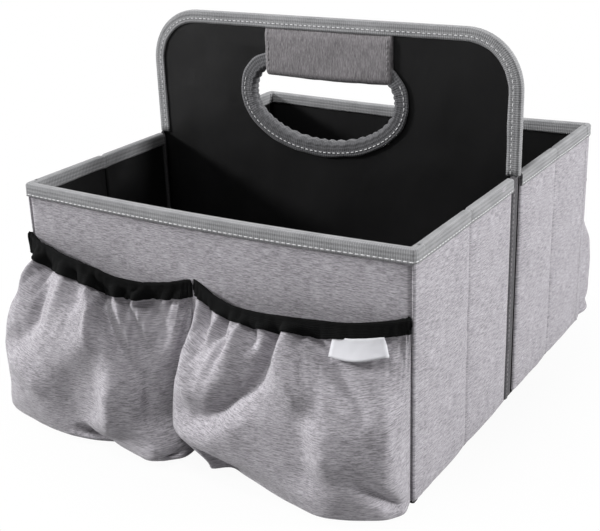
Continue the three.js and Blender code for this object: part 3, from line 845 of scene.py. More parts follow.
for half in HALVES:
    panel_cloth(half)
    panel_lining(half)
print("panel linings are", round(2 * (LINING_REACH + LINING_TURN), 4), "wide before their ends are turned")

# %% [markdown]
# ## Tape round the end panels
# This tape turns both corners with the panel. A tape swept with one section would cross itself inside the
# corner, so its outer leg follows the path, and its inner leg is the same path held inside the corner,
# where the tape's inside edge has no room to go round.

# %% Panel rim tape
TAPE_STAND = tape_out - wall_out
INNER_ROOM = 0.0006
inner_x = far_box("back_panel_lining")[1].x - INNER_ROOM
inner_y = far_box("back_panel_rim_tape")[1].y - (tape_out - tape_in)
PANEL_TAPE_BOW = 0.0005
ROUND_CORNER = 0.1
LEG_FOLLOW = 0.01


def panel_tape(half):
    mirror = (1, HALVES[half])
    points = panel_points
    seed = 6.1 * HALVES[half]

    def at(k, j):
        (x, y), (out_x, out_y) = points[int(k)]
        out, up = tape_section[int(j)]
        low = -up / tape_face
        waver = unevenness(x, y, j, WAVER_SIZE, seed)
        bow = TAPE_WAVER * waver * low
        bow += (PANEL_TAPE_BOW * low + RIM_BOW * bowed(x)) * (out > 0) * (out_y > SQUARE_ON)
        bow += (TAPE_FOLLOW * wall_swell(y, rim - tape_face) * low + LAP_STAND) * (out_y < ROUND_CORNER)
        outside = Vector((x + out_x * (TAPE_STAND + bow), y + out_y * (TAPE_STAND + bow), 0))
        held = Vector((within(x, -inner_x, inner_x), within(y, corner_end, inner_y), 0))
        inside = held + (outside - held) * LEG_FOLLOW
        half_width = tape_section[0][0]
        share = (half_width - out) / (2 * half_width)
        place = outside.lerp(inside, share)
        return (place.x, place.y, rim + up + TAPE_EDGE_WAVER * waver * low - RIM_SAG * bowed(x))

    name = f"{half}_panel_rim_binding"
    columns, rows = range(len(points)), range(len(tape_section))
    tape = grid_sheet(name, binding_tape, columns, rows, at, mirror, measured=2)
    thicken(tape, TAPE_THICKNESS)
    path = [at(k, STITCHED_ROW) for k in range(len(points))]
    outwards = [(*normal, 0) for _, normal in points]
    thread = stitch_row(f"{half}_panel_rim_stitches", mirrored(path, mirror), mirrored(outwards, mirror))
    for piece in (tape, thread):
        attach(piece, f"{half}_panel")
    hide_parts(f"{half}_panel_rim_tape")


for half in HALVES:
    panel_tape(half)
print("panel tapes stand", round(TAPE_STAND * 1000, 2), "mm off the wall cloth")

# %% [markdown]
# ## The shape of a pocket
# A gathered pocket is a wide piece of cloth drawn in at the mouth by elastic and sewn flat at both sides
# and at the foot, so it stands out like a sack and rests on the ground. Simulated cloth gives such a sack,
# but not the folds of this one, so the sack is a swept profile and each fold is a stroke: a line across the
# cloth with a depth at each of its points. Across runs from the left seam to the right, up from the foot
# seam to the mouth.

# %% Pocket form
POCKET_PROFILE = [
    (0.0, 0.0), (0.62, 0.004), (0.93, 0.018), (1.0, 0.07), (1.0, 0.22),
    (0.965, 0.42), (0.86, 0.62), (0.66, 0.80), (0.45, 0.92), (0.33, 1.0),
]
POCKET_STAND = 0.0425
POCKET_FOOT = 0.0018
POCKET_PLANE = panel_out + 0.0003
POCKET_CLOTH = 0.0013
BELLY_FULLNESS = 3.3
MOUTH_FULLNESS = 1.75
FLARE_PEAK = 6.75
FOOT_HEIGHT = 0.26
CLOTH_WIDTH = 0.21
MOUTH_ROUNDNESS = 1.15
FOLD_BOLDNESS = 1.55
VALLEY_POWER, RIDGE_POWER = 1.6, 2
GATHER_DEPTH = 0.0030
GATHERS_ACROSS, GATHERS_UP = 26, 1.3
UNDER_ELASTIC = 0.75
ELASTIC_SHARES = (0.90, 0.99)
GATHER_SHARES = (0.55, 0.88)
GATHER_FLOOR = 0.4
SLACK_RISE, SLACK_END = (0.08, 0.3), (0.8, 0.95)
FOOT_RISE = (0.0, 0.12)
FOOT_BLEND = 0.03
CORNER_SOFTENING = 14
LABEL_SHARES = ((0.62, 0.68), (0.86, 0.90))
SLACK_DEPTH = 0.0012
SLACK_SIZE = 0.035
GROUND_GAP = 0.0004
CLOTH_HEIGHT = 0.155
ACROSS = spread(0, 1, 121)
UPWARD = spread(0, 0.85, 66)[:-1] + spread(0.85, 1, 19)


def through_points(points, share):
    """A smooth curve through a list of points, at a share of its length (Catmull and Rom's)."""
    last = len(points) - 1
    i = min(int(share * last), last - 1)
    t = share * last - i
    p = [np.array(points[within(i + k, 0, last)], float) for k in (-1, 0, 1, 2)]
    first, second = (p[2] - p[0]) / 2, (p[3] - p[1]) / 2
    return (
        (2 * p[1] - 2 * p[2] + first + second) * t**3
        + (3 * p[2] - 3 * p[1] - 2 * first - second) * t**2
        + first * t
        + p[1]
    )


def smooth_step(low, high, value):
    t = within((value - low) / (high - low))
    return t * t * (3 - 2 * t)


def powered(value, fullness):
    return math.copysign(abs(value) ** (2 / fullness), value)


def fold_depth(folds, across, up):
    """The summed depth of all strokes at a place on the cloth."""
    depth = 0.0
    here = np.array((across * CLOTH_WIDTH, up * CLOTH_HEIGHT))
    for width, stroke in folds:
        best, at_best = 1e9, 0.0
        for (a0, u0, d0), (a1, u1, d1) in zip(stroke, stroke[1:]):
            start = np.array((a0 * CLOTH_WIDTH, u0 * CLOTH_HEIGHT))
            run = np.array((a1 * CLOTH_WIDTH, u1 * CLOTH_HEIGHT)) - start
            share = within(float((here - start) @ run / (run @ run)))
            distance = float(np.linalg.norm(here - start - run * share))
            if distance < best:
                best, at_best = distance, d0 + (d1 - d0) * share
        power = VALLEY_POWER if at_best < 0 else RIDGE_POWER
        depth += at_best * math.exp(-((best / width) ** power))
    return depth


def rounded_outline(points):
    """Values given at shares of the way across, read at every column and softened at their corners."""
    shares, *values = zip(*points)
    outline = np.stack([np.interp(ACROSS, shares, value) for value in values], 1)
    for _ in range(CORNER_SOFTENING):
        outline[1:-1] = (outline[:-2] + 2 * outline[1:-1] + outline[2:]) / 4
    return outline


def face_directions(table):
    """The outward direction at every point of a pocket's face."""
    out = np.cross(np.gradient(table, axis=1), np.gradient(table, axis=0))
    return out / np.maximum(np.linalg.norm(out, axis=2, keepdims=True), 1e-9)


def gathers(across, up, seed, calm):
    """The small upright puckers under the elastic, calmer where the label lies."""
    place = Vector((across * GATHERS_ACROSS + seed, up * GATHERS_UP, seed))
    depth = GATHER_DEPTH * (2 * abs(noise.noise(place)) - GATHER_FLOOR) * smooth_step(*GATHER_SHARES, up)
    label_start, label_end = LABEL_SHARES
    under_label = smooth_step(*label_start, across) * (1 - smooth_step(*label_end, across))
    return depth * (1 - calm * under_label)


def pocket_sack(left, right, outline, flares, mouth):
    """The smooth sack without its folds, as points indexed [across][up]."""
    middle, half = (left + right) / 2, (right - left) / 2
    table = np.zeros((len(ACROSS), len(UPWARD), 3))
    on_ground = rounded_outline(outline)
    rail = rounded_outline(mouth)[:, 0]
    for i, across in enumerate(ACROSS):
        turn = math.pi * (1 - across)
        side = math.copysign(1, math.cos(turn))
        heights, widths = zip(*flares[0 if side < 0 else 1])
        for j, up in enumerate(UPWARD):
            out, rise = through_points(POCKET_PROFILE, up)
            fullness = BELLY_FULLNESS + (MOUTH_FULLNESS - BELLY_FULLNESS) * smooth_step(0.3, 1, rise)
            roundness = fullness + (MOUTH_ROUNDNESS - fullness) * smooth_step(0.5, 1, rise)
            stand = powered(math.sin(turn), roundness) if 0 < across < 1 else 0.0
            widen = FLARE_PEAK * stand**2 * (1 - stand) * float(np.interp(rise, heights, widths))
            plain = middle + half * powered(math.cos(turn), fullness)
            belly = np.array((plain + side * widen * min(out * 2, 1), POCKET_STAND * out * stand))
            foot = np.array((plain + (on_ground[i, 0] - plain) * min(out, 1), on_ground[i, 1] * out))
            x, y = belly + (foot - belly) * (1 - smooth_step(FOOT_BLEND, FOOT_HEIGHT, rise))
            table[i, j] = (x, POCKET_PLANE + y, POCKET_FOOT + (rail[i] - POCKET_FOOT) * rise)
    return table


def pocket_form(sack, folds, seed, calm=0.0):
    """The sack pushed in and out by its folds: points and outward directions, indexed [across][up]."""
    out = face_directions(sack)
    table = sack.copy()
    for i, across in enumerate(ACROSS):
        held = math.sin(math.pi * across) ** 0.5 if 0 < across < 1 else 0.0
        for j, up in enumerate(UPWARD):
            under = 1 - UNDER_ELASTIC * smooth_step(*ELASTIC_SHARES, up)
            soft = SLACK_DEPTH * unevenness(across * 0.2, up * 0.16, seed, SLACK_SIZE, seed)
            soft *= smooth_step(*SLACK_RISE, up) * (1 - smooth_step(*SLACK_END, up))
            folded = FOLD_BOLDNESS * fold_depth(folds, across, up) + gathers(across, up, seed, calm)
            push = (folded * under + soft) * held * smooth_step(*FOOT_RISE, up)
            table[i, j] += out[i, j] * push
    table[:, :, 1] = np.maximum(table[:, :, 1], POCKET_PLANE)
    table[:, :, 2] = np.maximum(table[:, :, 2], GROUND_GAP)
    return table, face_directions(table)


print("points on each pocket:", len(ACROSS) * len(UPWARD))

# %% [markdown]
# ### The folds themselves
# Valleys hang from the gathers, long slack folds cross each belly, and pleats form where the cloth turns
# under at the foot. Noise could crumple the sack, but not in these places, so each fold is given one by
# one.
# A fold is its half-width in metres and its points: share across, share up, and depth in metres, with
# inwards negative. An outline gives, for a share of the way across, where the sack touches the ground:
# place along the panel and distance from it. Flares widen the sack's two ends by height, and a mouth gives
# the height of its top edge.

# %% Folds of both pockets
LEFT_FOLDS = [
    (0.0045, [(0.142, 0.90, -0.0030), (0.150, 0.80, -0.0035), (0.183, 0.74, -0.0015),
              (0.20, 0.70, 0.0)]),
    (0.0035, [(0.225, 0.92, 0.0022), (0.225, 0.80, 0.0026), (0.25, 0.76, 0.0010), (0.26, 0.72, 0.0)]),
    (0.0080, [(0.27, 0.95, -0.0035), (0.283, 0.917, -0.0050), (0.317, 0.824, -0.0062),
              (0.333, 0.758, -0.0062), (0.342, 0.693, -0.0060), (0.325, 0.641, -0.0050),
              (0.275, 0.602, -0.0040), (0.20, 0.58, -0.0010)]),
    (0.0040, [(0.37, 0.95, 0.0022), (0.383, 0.933, 0.0026), (0.40, 0.85, 0.0026),
              (0.408, 0.772, 0.0020), (0.408, 0.70, 0.0)]),
    (0.0045, [(0.417, 0.942, -0.0032), (0.442, 0.867, -0.0036), (0.45, 0.798, -0.0028),
              (0.442, 0.74, 0.0)]),
    (0.0045, [(0.475, 0.933, 0.0028), (0.50, 0.85, 0.0034), (0.525, 0.785, 0.0034),
              (0.525, 0.719, 0.0030), (0.508, 0.667, 0.0024), (0.492, 0.615, 0.0010),
              (0.48, 0.57, 0.0)]),
    (0.0080, [(0.515, 0.95, -0.0045), (0.525, 0.933, -0.0055), (0.558, 0.85, -0.0070),
              (0.592, 0.785, -0.0072), (0.633, 0.719, -0.0066), (0.708, 0.654, -0.0050),
              (0.808, 0.588, -0.0035), (0.825, 0.523, -0.0025), (0.82, 0.46, 0.0)]),
    (0.0040, [(0.61, 0.94, 0.0022), (0.625, 0.917, 0.0028), (0.658, 0.824, 0.0030),
              (0.708, 0.732, 0.0028), (0.758, 0.667, 0.0018), (0.82, 0.61, 0.0)]),
    (0.0055, [(0.645, 0.93, -0.0036), (0.65, 0.90, -0.0042), (0.692, 0.824, -0.0046),
              (0.733, 0.758, -0.0042), (0.775, 0.693, -0.0032), (0.833, 0.641, -0.0012),
              (0.86, 0.60, 0.0)]),
    (0.0035, [(0.70, 0.92, 0.0020), (0.742, 0.798, 0.0026), (0.80, 0.719, 0.0018), (0.83, 0.68, 0.0)]),
    (0.0055, [(0.755, 0.93, -0.0040), (0.767, 0.875, -0.0050), (0.792, 0.811, -0.0052),
              (0.825, 0.758, -0.0040), (0.858, 0.706, -0.0018), (0.87, 0.67, 0.0)]),
    (0.0060, [(0.88, 0.90, 0.0022), (0.87, 0.80, 0.0024), (0.90, 0.70, 0.0018), (0.92, 0.60, 0.0)]),
    (0.0050, [(0.24, 0.55, 0.0010), (0.283, 0.536, 0.0026), (0.342, 0.523, 0.0028),
              (0.392, 0.497, 0.0020), (0.43, 0.47, 0.0)]),
    (0.0090, [(0.56, 0.66, 0.0), (0.53, 0.610, -0.0026), (0.505, 0.545, -0.0044),
              (0.50, 0.470, -0.0046), (0.505, 0.380, -0.0036), (0.52, 0.30, -0.0015)]),
    (0.0090, [(0.59, 0.62, 0.0), (0.578, 0.536, 0.0032), (0.575, 0.458, 0.0034),
              (0.58, 0.36, 0.0010)]),
    (0.0040, [(0.50, 0.37, 0.0), (0.542, 0.314, -0.0050), (0.583, 0.275, -0.0070),
              (0.62, 0.20, -0.0070)]),
    (0.0060, [(0.92, 0.34, 0.0), (0.90, 0.327, -0.0030), (0.858, 0.30, -0.0050),
              (0.82, 0.25, -0.0060)]),
]
RIGHT_FOLDS = [
    (0.0060, [(0.12, 0.90, 0.0020), (0.133, 0.837, 0.0030), (0.158, 0.745, 0.0034),
              (0.22, 0.69, 0.0030), (0.275, 0.615, 0.0026), (0.25, 0.58, 0.0)]),
    (0.0060, [(0.18, 0.90, -0.0034), (0.192, 0.837, -0.0042), (0.233, 0.785, -0.0036),
              (0.258, 0.732, -0.0022), (0.27, 0.69, 0.0)]),
    (0.0035, [(0.25, 0.91, 0.0020), (0.258, 0.85, 0.0026), (0.283, 0.772, 0.0020), (0.30, 0.73, 0.0)]),
    (0.0050, [(0.29, 0.91, -0.0034), (0.30, 0.858, -0.0042), (0.325, 0.811, -0.0036),
              (0.33, 0.758, -0.0015), (0.335, 0.72, 0.0)]),
    (0.0040, [(0.34, 0.92, 0.0020), (0.35, 0.85, 0.0028), (0.367, 0.811, 0.0028),
              (0.375, 0.758, 0.0026), (0.383, 0.706, 0.0015), (0.385, 0.67, 0.0)]),
    (0.0040, [(0.385, 0.91, -0.0034), (0.40, 0.86, -0.0034), (0.41, 0.82, -0.0012),
              (0.41, 0.79, 0.0)]),
    (0.0030, [(0.425, 0.93, 0.0020), (0.433, 0.87, 0.0024), (0.43, 0.80, 0.0012), (0.42, 0.75, 0.0)]),
    (0.0080, [(0.48, 0.94, -0.0042), (0.475, 0.917, -0.0055), (0.467, 0.85, -0.0075),
              (0.458, 0.785, -0.0085), (0.458, 0.719, -0.0085), (0.442, 0.667, -0.0080),
              (0.417, 0.628, -0.0078), (0.392, 0.575, -0.0075), (0.358, 0.549, -0.0070),
              (0.308, 0.536, -0.0060), (0.267, 0.536, -0.0050), (0.20, 0.54, -0.0015)]),
    (0.0080, [(0.517, 0.935, 0.0030), (0.512, 0.86, 0.0044), (0.517, 0.785, 0.0050),
              (0.533, 0.719, 0.0046), (0.55, 0.68, 0.0030), (0.58, 0.65, 0.0)]),
    (0.0035, [(0.555, 0.93, -0.0026), (0.558, 0.875, -0.0026), (0.56, 0.84, 0.0)]),
    (0.0065, [(0.60, 0.93, -0.0040), (0.608, 0.90, -0.0046), (0.633, 0.85, -0.0048),
              (0.667, 0.785, -0.0042), (0.692, 0.745, -0.0038), (0.725, 0.706, -0.0030),
              (0.742, 0.667, -0.0020), (0.75, 0.62, 0.0)]),
    (0.0110, [(0.47, 0.68, 0.0), (0.517, 0.654, -0.0030), (0.542, 0.630, -0.0040),
              (0.55, 0.602, -0.0044), (0.55, 0.536, -0.0044), (0.55, 0.458, -0.0036),
              (0.555, 0.38, 0.0)]),
    (0.0080, [(0.24, 0.50, 0.0010), (0.283, 0.497, 0.0026), (0.375, 0.510, 0.0030),
              (0.442, 0.54, 0.0020), (0.48, 0.55, 0.0)]),
    (0.0110, [(0.60, 0.64, 0.0), (0.60, 0.60, 0.0030), (0.605, 0.52, 0.0036), (0.61, 0.45, 0.0)]),
    (0.0100, [(0.80, 0.72, 0.0010), (0.84, 0.60, 0.0024), (0.86, 0.50, 0.0010)]),
    (0.0050, [(0.62, 0.50, 0.0), (0.692, 0.471, -0.0020), (0.758, 0.432, -0.0040),
              (0.817, 0.392, -0.0055), (0.90, 0.327, -0.0060), (0.95, 0.29, -0.0020)]),
]
POCKET_LEFT_EDGE = -0.1396
POCKET_RIGHT_EDGE = 0.1370
POCKET_SEAM = -0.008
SEAM_SHARE = 0.0012
LEFT_OUTLINE = [
    (0.0, -0.1396, 0.0), (0.1, -0.150, 0.012), (0.2, -0.1535, 0.024), (0.3, -0.140, 0.0315),
    (0.4, -0.112, 0.0385), (0.5, -0.082, 0.0415), (0.58, -0.060, 0.033), (0.7, -0.032, 0.040),
    (0.8, -0.015, 0.042), (0.9, -0.004, 0.025), (1.0, -0.0092, 0.0),
]
RIGHT_OUTLINE = [
    (0.0, -0.0068, 0.0), (0.1, 0.006, 0.012), (0.18, 0.013, 0.025), (0.235, 0.019, 0.034),
    (0.275, 0.026, 0.019), (0.32, 0.035, 0.024), (0.4, 0.053, 0.030), (0.5, 0.078, 0.0385),
    (0.6, 0.102, 0.0425), (0.7, 0.121, 0.037), (0.8, 0.135, 0.0275), (0.9, 0.142, 0.016),
    (1.0, 0.1370, 0.0),
]
LEFT_FLARES = (
    [(0.0, 0.012), (0.2, 0.0120), (0.30, 0.0130), (0.43, 0.0160), (0.62, 0.0150),
     (0.75, 0.0140), (0.87, 0.0110), (1.0, 0.0030)],
    [(0.0, -0.004), (0.2, -0.0110), (0.45, -0.0120), (0.7, -0.0120), (0.9, -0.0100), (1.0, -0.0040)],
)
RIGHT_FLARES = (
    [(0.0, 0.0), (0.2, 0.0100), (0.45, 0.0090), (0.6, 0.0080), (0.8, 0.0040), (0.95, 0.0010), (1.0, 0.0)],
    [(0.0, 0.005), (0.2, 0.0045), (0.5, 0.0030), (0.8, 0.0010), (1.0, 0.0)],
)
LEFT_MOUTH = [
    (0.0, 0.1205), (0.15, 0.1182), (0.3, 0.1162), (0.45, 0.1132), (0.6, 0.1078), (0.7, 0.1060),
    (0.8, 0.1076), (0.9, 0.1102), (1.0, 0.1120),
]
RIGHT_MOUTH = [
    (0.0, 0.1140), (0.1, 0.1105), (0.2, 0.1062), (0.3, 0.1040), (0.4, 0.1050), (0.5, 0.1070),
    (0.7, 0.1088), (0.8, 0.1115), (0.9, 0.1140), (1.0, 0.1149),
]
seam_left, seam_right = POCKET_SEAM - SEAM_SHARE, POCKET_SEAM + SEAM_SHARE
left_sack = pocket_sack(POCKET_LEFT_EDGE, seam_left, LEFT_OUTLINE, LEFT_FLARES, LEFT_MOUTH)
right_sack = pocket_sack(seam_right, POCKET_RIGHT_EDGE, RIGHT_OUTLINE, RIGHT_FLARES, RIGHT_MOUTH)
pocket_forms = {
    "left": pocket_form(left_sack, LEFT_FOLDS, 3.7),
    "right": pocket_form(right_sack, RIGHT_FOLDS, 9.2, calm=0.8),
}
for side, (form, _) in pocket_forms.items():
    stand = float(form[:, :, 1].max()) - POCKET_PLANE
    print(side, "pocket stands out", round(stand, 4), "m from its panel")

# %% [markdown]
# ## Pocket cloth, elastic and label
# The cloth is the form's own grid, thickened inwards. A plain band could go round the mouth, but the real
# elastic is folded over it: its outer leg lies on the cloth, so it takes the gathers with it and its lower
# edge comes out scalloped, as on the real one.

# %% Pocket cloth and elastic
ELASTIC_WIDTHS = {"left": 0.0122, "right": 0.0095}
ELASTIC_THICKNESS = 0.0009
ELASTIC_GAP = 0.0004
ELASTIC_HEAD = 0.0030
ELASTIC_TURN = 0.0035
ELASTIC_SHOULDER = 0.55
ELASTIC_RIPPLE = 0.0002
ELASTIC_RIPPLES = 160
MIDDLE_COLUMN = len(ACROSS) // 2


def pocket_cloth(half, side):
    form, _ = pocket_forms[side]
    mirror = (1, HALVES[half])
    columns, rows = range(len(ACROSS)), range(len(UPWARD))
    name = f"{half}_{side}_pocket_cloth"

    def at(i, j):
        return form[i, j]

    cloth = grid_sheet(name, outer_cloth, list(reversed(columns)), list(rows), at, mirror)
    thicken(cloth, POCKET_CLOTH)
    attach(cloth, f"{half}_panel")
    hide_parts(f"{half}_pocket_{side}")


def pocket_elastic(half, side):
    form, out = pocket_forms[side]
    mirror = (1, HALVES[half])
    leg = ELASTIC_WIDTHS[side] - ELASTIC_TURN
    heights = form[MIDDLE_COLUMN, :, 2]
    start = next(j for j in range(len(UPWARD)) if heights[-1] - heights[j] < leg)
    rows = list(range(start, len(UPWARD)))
    stand = ELASTIC_GAP + ELASTIC_THICKNESS
    section = [(j, stand, 0.0) for j in rows]
    for step in range(5):
        angle = math.pi * step / 4
        away = math.cos(angle) * (stand + POCKET_CLOTH / 2) - POCKET_CLOTH / 2
        height = ELASTIC_SHOULDER + (1 - ELASTIC_SHOULDER) * math.sin(angle)
        section.append((rows[-1], away, ELASTIC_HEAD * height))
    section += [(j, -POCKET_CLOTH - stand, 0.0) for j in reversed(rows)]

    def at(i, k):
        j, away, rise = section[int(k)]
        point = Vector(form[int(i), j]) + Vector(out[int(i), j]) * away
        outer_leg = (away > 0) * (rise == 0)
        wave = ELASTIC_RIPPLE * math.sin(ACROSS[int(i)] * ELASTIC_RIPPLES) * outer_leg
        return (point.x, max(point.y, POCKET_PLANE) + wave, point.z + rise)

    columns = list(reversed(range(len(ACROSS))))
    name = f"{half}_{side}_pocket_elastic"
    band = grid_sheet(name, elastic_ribs, columns, range(len(section)), at, mirror)
    thicken(band, ELASTIC_THICKNESS)
    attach(band, f"{half}_panel")
    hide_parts(f"{half}_pocket_elastic_{side}")


for half in HALVES:
    for side in SIDES:
        pocket_cloth(half, side)
        pocket_elastic(half, side)
print("pockets: 4, each with its elastic")

# %% [markdown]
# ### Seam and label
# A short seam holds the two pockets to the panel between them. The label is a scrap of satin caught under
# the right pocket's elastic. Cloth pressed on the gathers would be pierced by them, so the label hangs from
# the elastic's lower edge and stands on the furthest fold within its reach.

# %% Seam between the pockets, and the label
SEAM_HEIGHTS = (0.104, 0.1165)
SEAM_STAND = 0.0006
SEAM_STITCH = 0.003


def pocket_seam(half):
    mirror = (1, HALVES[half])
    path = [(POCKET_SEAM, POCKET_PLANE + SEAM_STAND, z) for z in spread(*SEAM_HEIGHTS, 8)]
    outwards = mirrored([(0, 1, 0)] * len(path), mirror)
    thread = stitch_row(f"{half}_pocket_seam", mirrored(path, mirror), outwards, length=SEAM_STITCH)
    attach(thread, f"{half}_panel")


LABEL_SPAN = (0.0959, 0.1252)
LABEL_DROP = 0.0100
LABEL_SKEW = 0.0050
LABEL_REACH = 0.007
LABEL_TUCK = 0.0046
LABEL_THICKNESS = 0.0005
LABEL_HEIGHT = 0.1
LABEL_STAND, LABEL_LIFT, LABEL_BOW = 0.0007, 0.0018, 0.0006
LABEL_CURL = 0.0008
LABEL_COLUMNS = slice(20, -20)
UPPER_ROWS = slice(25, None)


def label_tag():
    form, _ = pocket_forms["right"]
    front = form[LABEL_COLUMNS]
    upper = front[:, UPPER_ROWS]
    rail = [np.interp(LABEL_HEIGHT, column[:, 2], column[:, 0]) for column in upper]
    tops = [column[-1, 2] - ELASTIC_WIDTHS["right"] + LABEL_TUCK for column in front]

    def stand_at(x, z):
        """The cloth's furthest stand close to a place, so that no fold pokes through the tag."""
        stands = [np.interp(z, column[:, 2], column[:, 1]) for column in upper]
        return max(stand for place, stand in zip(rail, stands) if abs(place - x) < LABEL_REACH)

    def at(share, fall):
        x = LABEL_SPAN[0] + (LABEL_SPAN[1] - LABEL_SPAN[0]) * share + LABEL_SKEW * share * fall
        curl = math.sin(3.1 * share) * fall
        z = float(np.interp(x, rail, tops)) - fall * LABEL_DROP - LABEL_CURL * curl
        lift = LABEL_STAND + LABEL_LIFT * fall**1.5 + LABEL_BOW * curl
        return (x, stand_at(x, z) + lift, z)

    tag = grid_sheet("bare_label", label_cloth, spread(1, 0, 16), spread(1, 0, 10), at, (1, -1))
    thicken(tag, LABEL_THICKNESS)
    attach(tag, "front_panel")
    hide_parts("label_tag")
    print("label:", [round(v, 4) for v in tag.dimensions])


for half in HALVES:
    pocket_seam(half)
label_tag()

# %% [markdown]
# ## The divider
# The divider is a board between two faces of black lining, with a hand hole near its top. The hole could be
# cut with a boolean, which leaves long thin faces. Here the face is made of rings that run from the hole's
# edge out to the divider's edge, so nothing needs cutting, and a low ripple is added where the lining is
# slack.

# %% Divider faces
divider_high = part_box("divider_tape")[1]
divider_half = divider_high.x
divider_top = divider_high.z
divider_face_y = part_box("divider_lining")[1].y
sleeve_low, sleeve_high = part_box("handle_sleeve")
ledge = rim + 0.0003
GROOVE_FACE = 0.1378
DIVIDER_CORNER = 0.038
HOLE_HALF = 0.055
HOLE_RUN = 0.016
HOLE_RISE = 0.018
HOLE_DROP = 0.031
HOLE_WIDE = 0.195
HOLE_FLAT = HOLE_HALF - HOLE_RUN
CORNER_SHARE = 0.3
SLEEVE_SHIFT = 0.0050
RIPPLE_LOW, RIPPLE_HIGH = 0.0004, 0.0007
FACE_SINK = 0.0003
FACE_INSET = 0.0012
FACE_HOLE_INSET = 0.0009
GROOVE_INSET = 0.0009
CENTRE_DROP = 0.002
RIPPLE_WIDE = 0.045
FACE_RINGS = 30


def hole_edge(grow, count=96):
    """Points round the hand hole, clockwise from its right end as seen from the front, grown outwards."""
    points = []
    for step in range(count):
        share = step / count
        along = (share - 0.5) * 2
        if share < 0.5:
            angle = math.pi * 2 * share
            x = (HOLE_HALF + grow) * math.cos(angle)
            z = HOLE_WIDE - (HOLE_DROP + grow) * math.sin(angle)
        elif along < CORNER_SHARE:
            angle = math.pi / 2 * along / CORNER_SHARE
            x = -HOLE_FLAT - (HOLE_RUN + grow) * math.cos(angle)
            z = HOLE_WIDE + (HOLE_RISE + grow) * math.sin(angle)
        elif along < 1 - CORNER_SHARE:
            x = -HOLE_FLAT + 2 * HOLE_FLAT * (along - CORNER_SHARE) / (1 - 2 * CORNER_SHARE)
            z = HOLE_WIDE + HOLE_RISE + grow
        else:
            angle = math.pi / 2 * (along - 1 + CORNER_SHARE) / CORNER_SHARE
            x = HOLE_FLAT + (HOLE_RUN + grow) * math.sin(angle)
            z = HOLE_WIDE + (HOLE_RISE + grow) * math.cos(angle)
        points.append((x, z))
    return points


def divider_edge(inset):
    """The upper divider's outline from its right-hand foot, round both corners, to its left-hand foot."""
    half, top = divider_half - inset, divider_top - inset
    radius = DIVIDER_CORNER - inset
    points = [(half, z) for z in spread(ledge + inset, top - radius, 14)]
    for step in range(1, 15):
        angle = math.pi / 2 * step / 14
        points.append((half - radius + radius * math.cos(angle), top - radius + radius * math.sin(angle)))
    across = [(x, top) for x in spread(half - radius, 0, 16)[1:-1]]
    quarter = points + across
    return quarter + [(0, top)] + [(-x, z) for x, z in reversed(quarter)]


def towards(centre, angle, outline):
    """Where a ray from the centre meets a closed outline."""
    way = (math.cos(angle), math.sin(angle))
    best = None
    for (x0, z0), (x1, z1) in zip(outline, outline[1:] + outline[:1]):
        run = (x1 - x0, z1 - z0)
        cross = way[0] * run[1] - way[1] * run[0]
        if abs(cross) < 1e-12:
            continue
        reach = ((x0 - centre[0]) * run[1] - (z0 - centre[1]) * run[0]) / cross
        share = ((x0 - centre[0]) * way[1] - (z0 - centre[1]) * way[0]) / cross
        if reach > 0 and -1e-9 <= share <= 1 + 1e-9 and (best is None or reach > best):
            best = reach
    return (centre[0] + way[0] * best, centre[1] + way[1] * best)


def divider_face(name, facing):
    low = GROOVE_FACE - GROOVE_INSET
    edge = divider_edge(FACE_INSET)
    outline = [(low, foot), (low, ledge)] + edge + [(-low, ledge), (-low, foot)]
    hole = hole_edge(FACE_HOLE_INSET)
    centre = (0, HOLE_WIDE - CENTRE_DROP)
    rings = spread(0, 1, FACE_RINGS)
    pairs = []
    for x, z in hole:
        pairs.append(((x, z), towards(centre, math.atan2(z - centre[1], x - centre[0]), outline)))

    def at(k, share):
        (x0, z0), (x1, z1) = pairs[int(k)]
        x, z = x0 + (x1 - x0) * share, z0 + (z1 - z0) * share
        slack = smooth_step(0.1, 0.4, share) * (1 - smooth_step(0.75, 0.97, share))
        uneven = unevenness(x, facing, z, RIPPLE_WIDE, 2.0 * facing)
        ripple = (RIPPLE_LOW + RIPPLE_HIGH * uneven) * slack
        return (x, divider_face_y + max(ripple, -FACE_SINK), z)

    columns = list(range(len(hole)))
    face = grid_sheet(name, lining_cloth, columns, rings, at, (1, facing), closed=True)
    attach(face, "spine")
    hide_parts("divider_lining")
    places = [(point.co.x, point.co.z) for point in face.data.vertices]
    corners = [places[loop.vertex_index] for loop in face.data.loops]
    face.data.uv_layers[CLOTH_MAP].data.foreach_set("uv", np.array(corners, np.float32).ravel())


divider_face("divider_face_front", -1)
divider_face("divider_face_back", 1)
print("divider:", round(2 * divider_half, 4), "wide and", round(divider_top, 4), "high")

# %% [markdown]
# ## Tape round the divider
# The same ribbed tape is folded over the divider's edge and turns both top corners, where its ribs fan out.
# A dashed stitch line runs just inside its inner edge on both faces. The rim's folded section is used again
# and swept along the divider's outline, so the two tapes have the same fold. Over the sleeve the tape is
# lifted a little.

# %% Divider tape
DIVIDER_TAPE_FACE = 0.0085
DIVIDER_STITCH_INSET = 0.0030
TAPE_LIFT = 0.0012
DIVIDER_WAVER, DIVIDER_BULGE = 0.0005, 0.0002
DIVIDER_WAVER_SIZE = 0.025
divider_tape_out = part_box("handle_hole_tape")[1].y


def outward(path):
    """Directions square to a path of (x, z) points, on its right-hand side as it runs."""
    steps = np.gradient(np.array(path), axis=0)
    steps /= np.linalg.norm(steps, axis=1, keepdims=True)
    return np.stack([steps[:, 1], -steps[:, 0]], 1)


def over_sleeve(x):
    """One where the tape runs over the grip sleeve, and zero beside it."""
    return 1 - smooth_step(-0.001, 0.003, abs(x - SLEEVE_SHIFT) - sleeve_high.x)


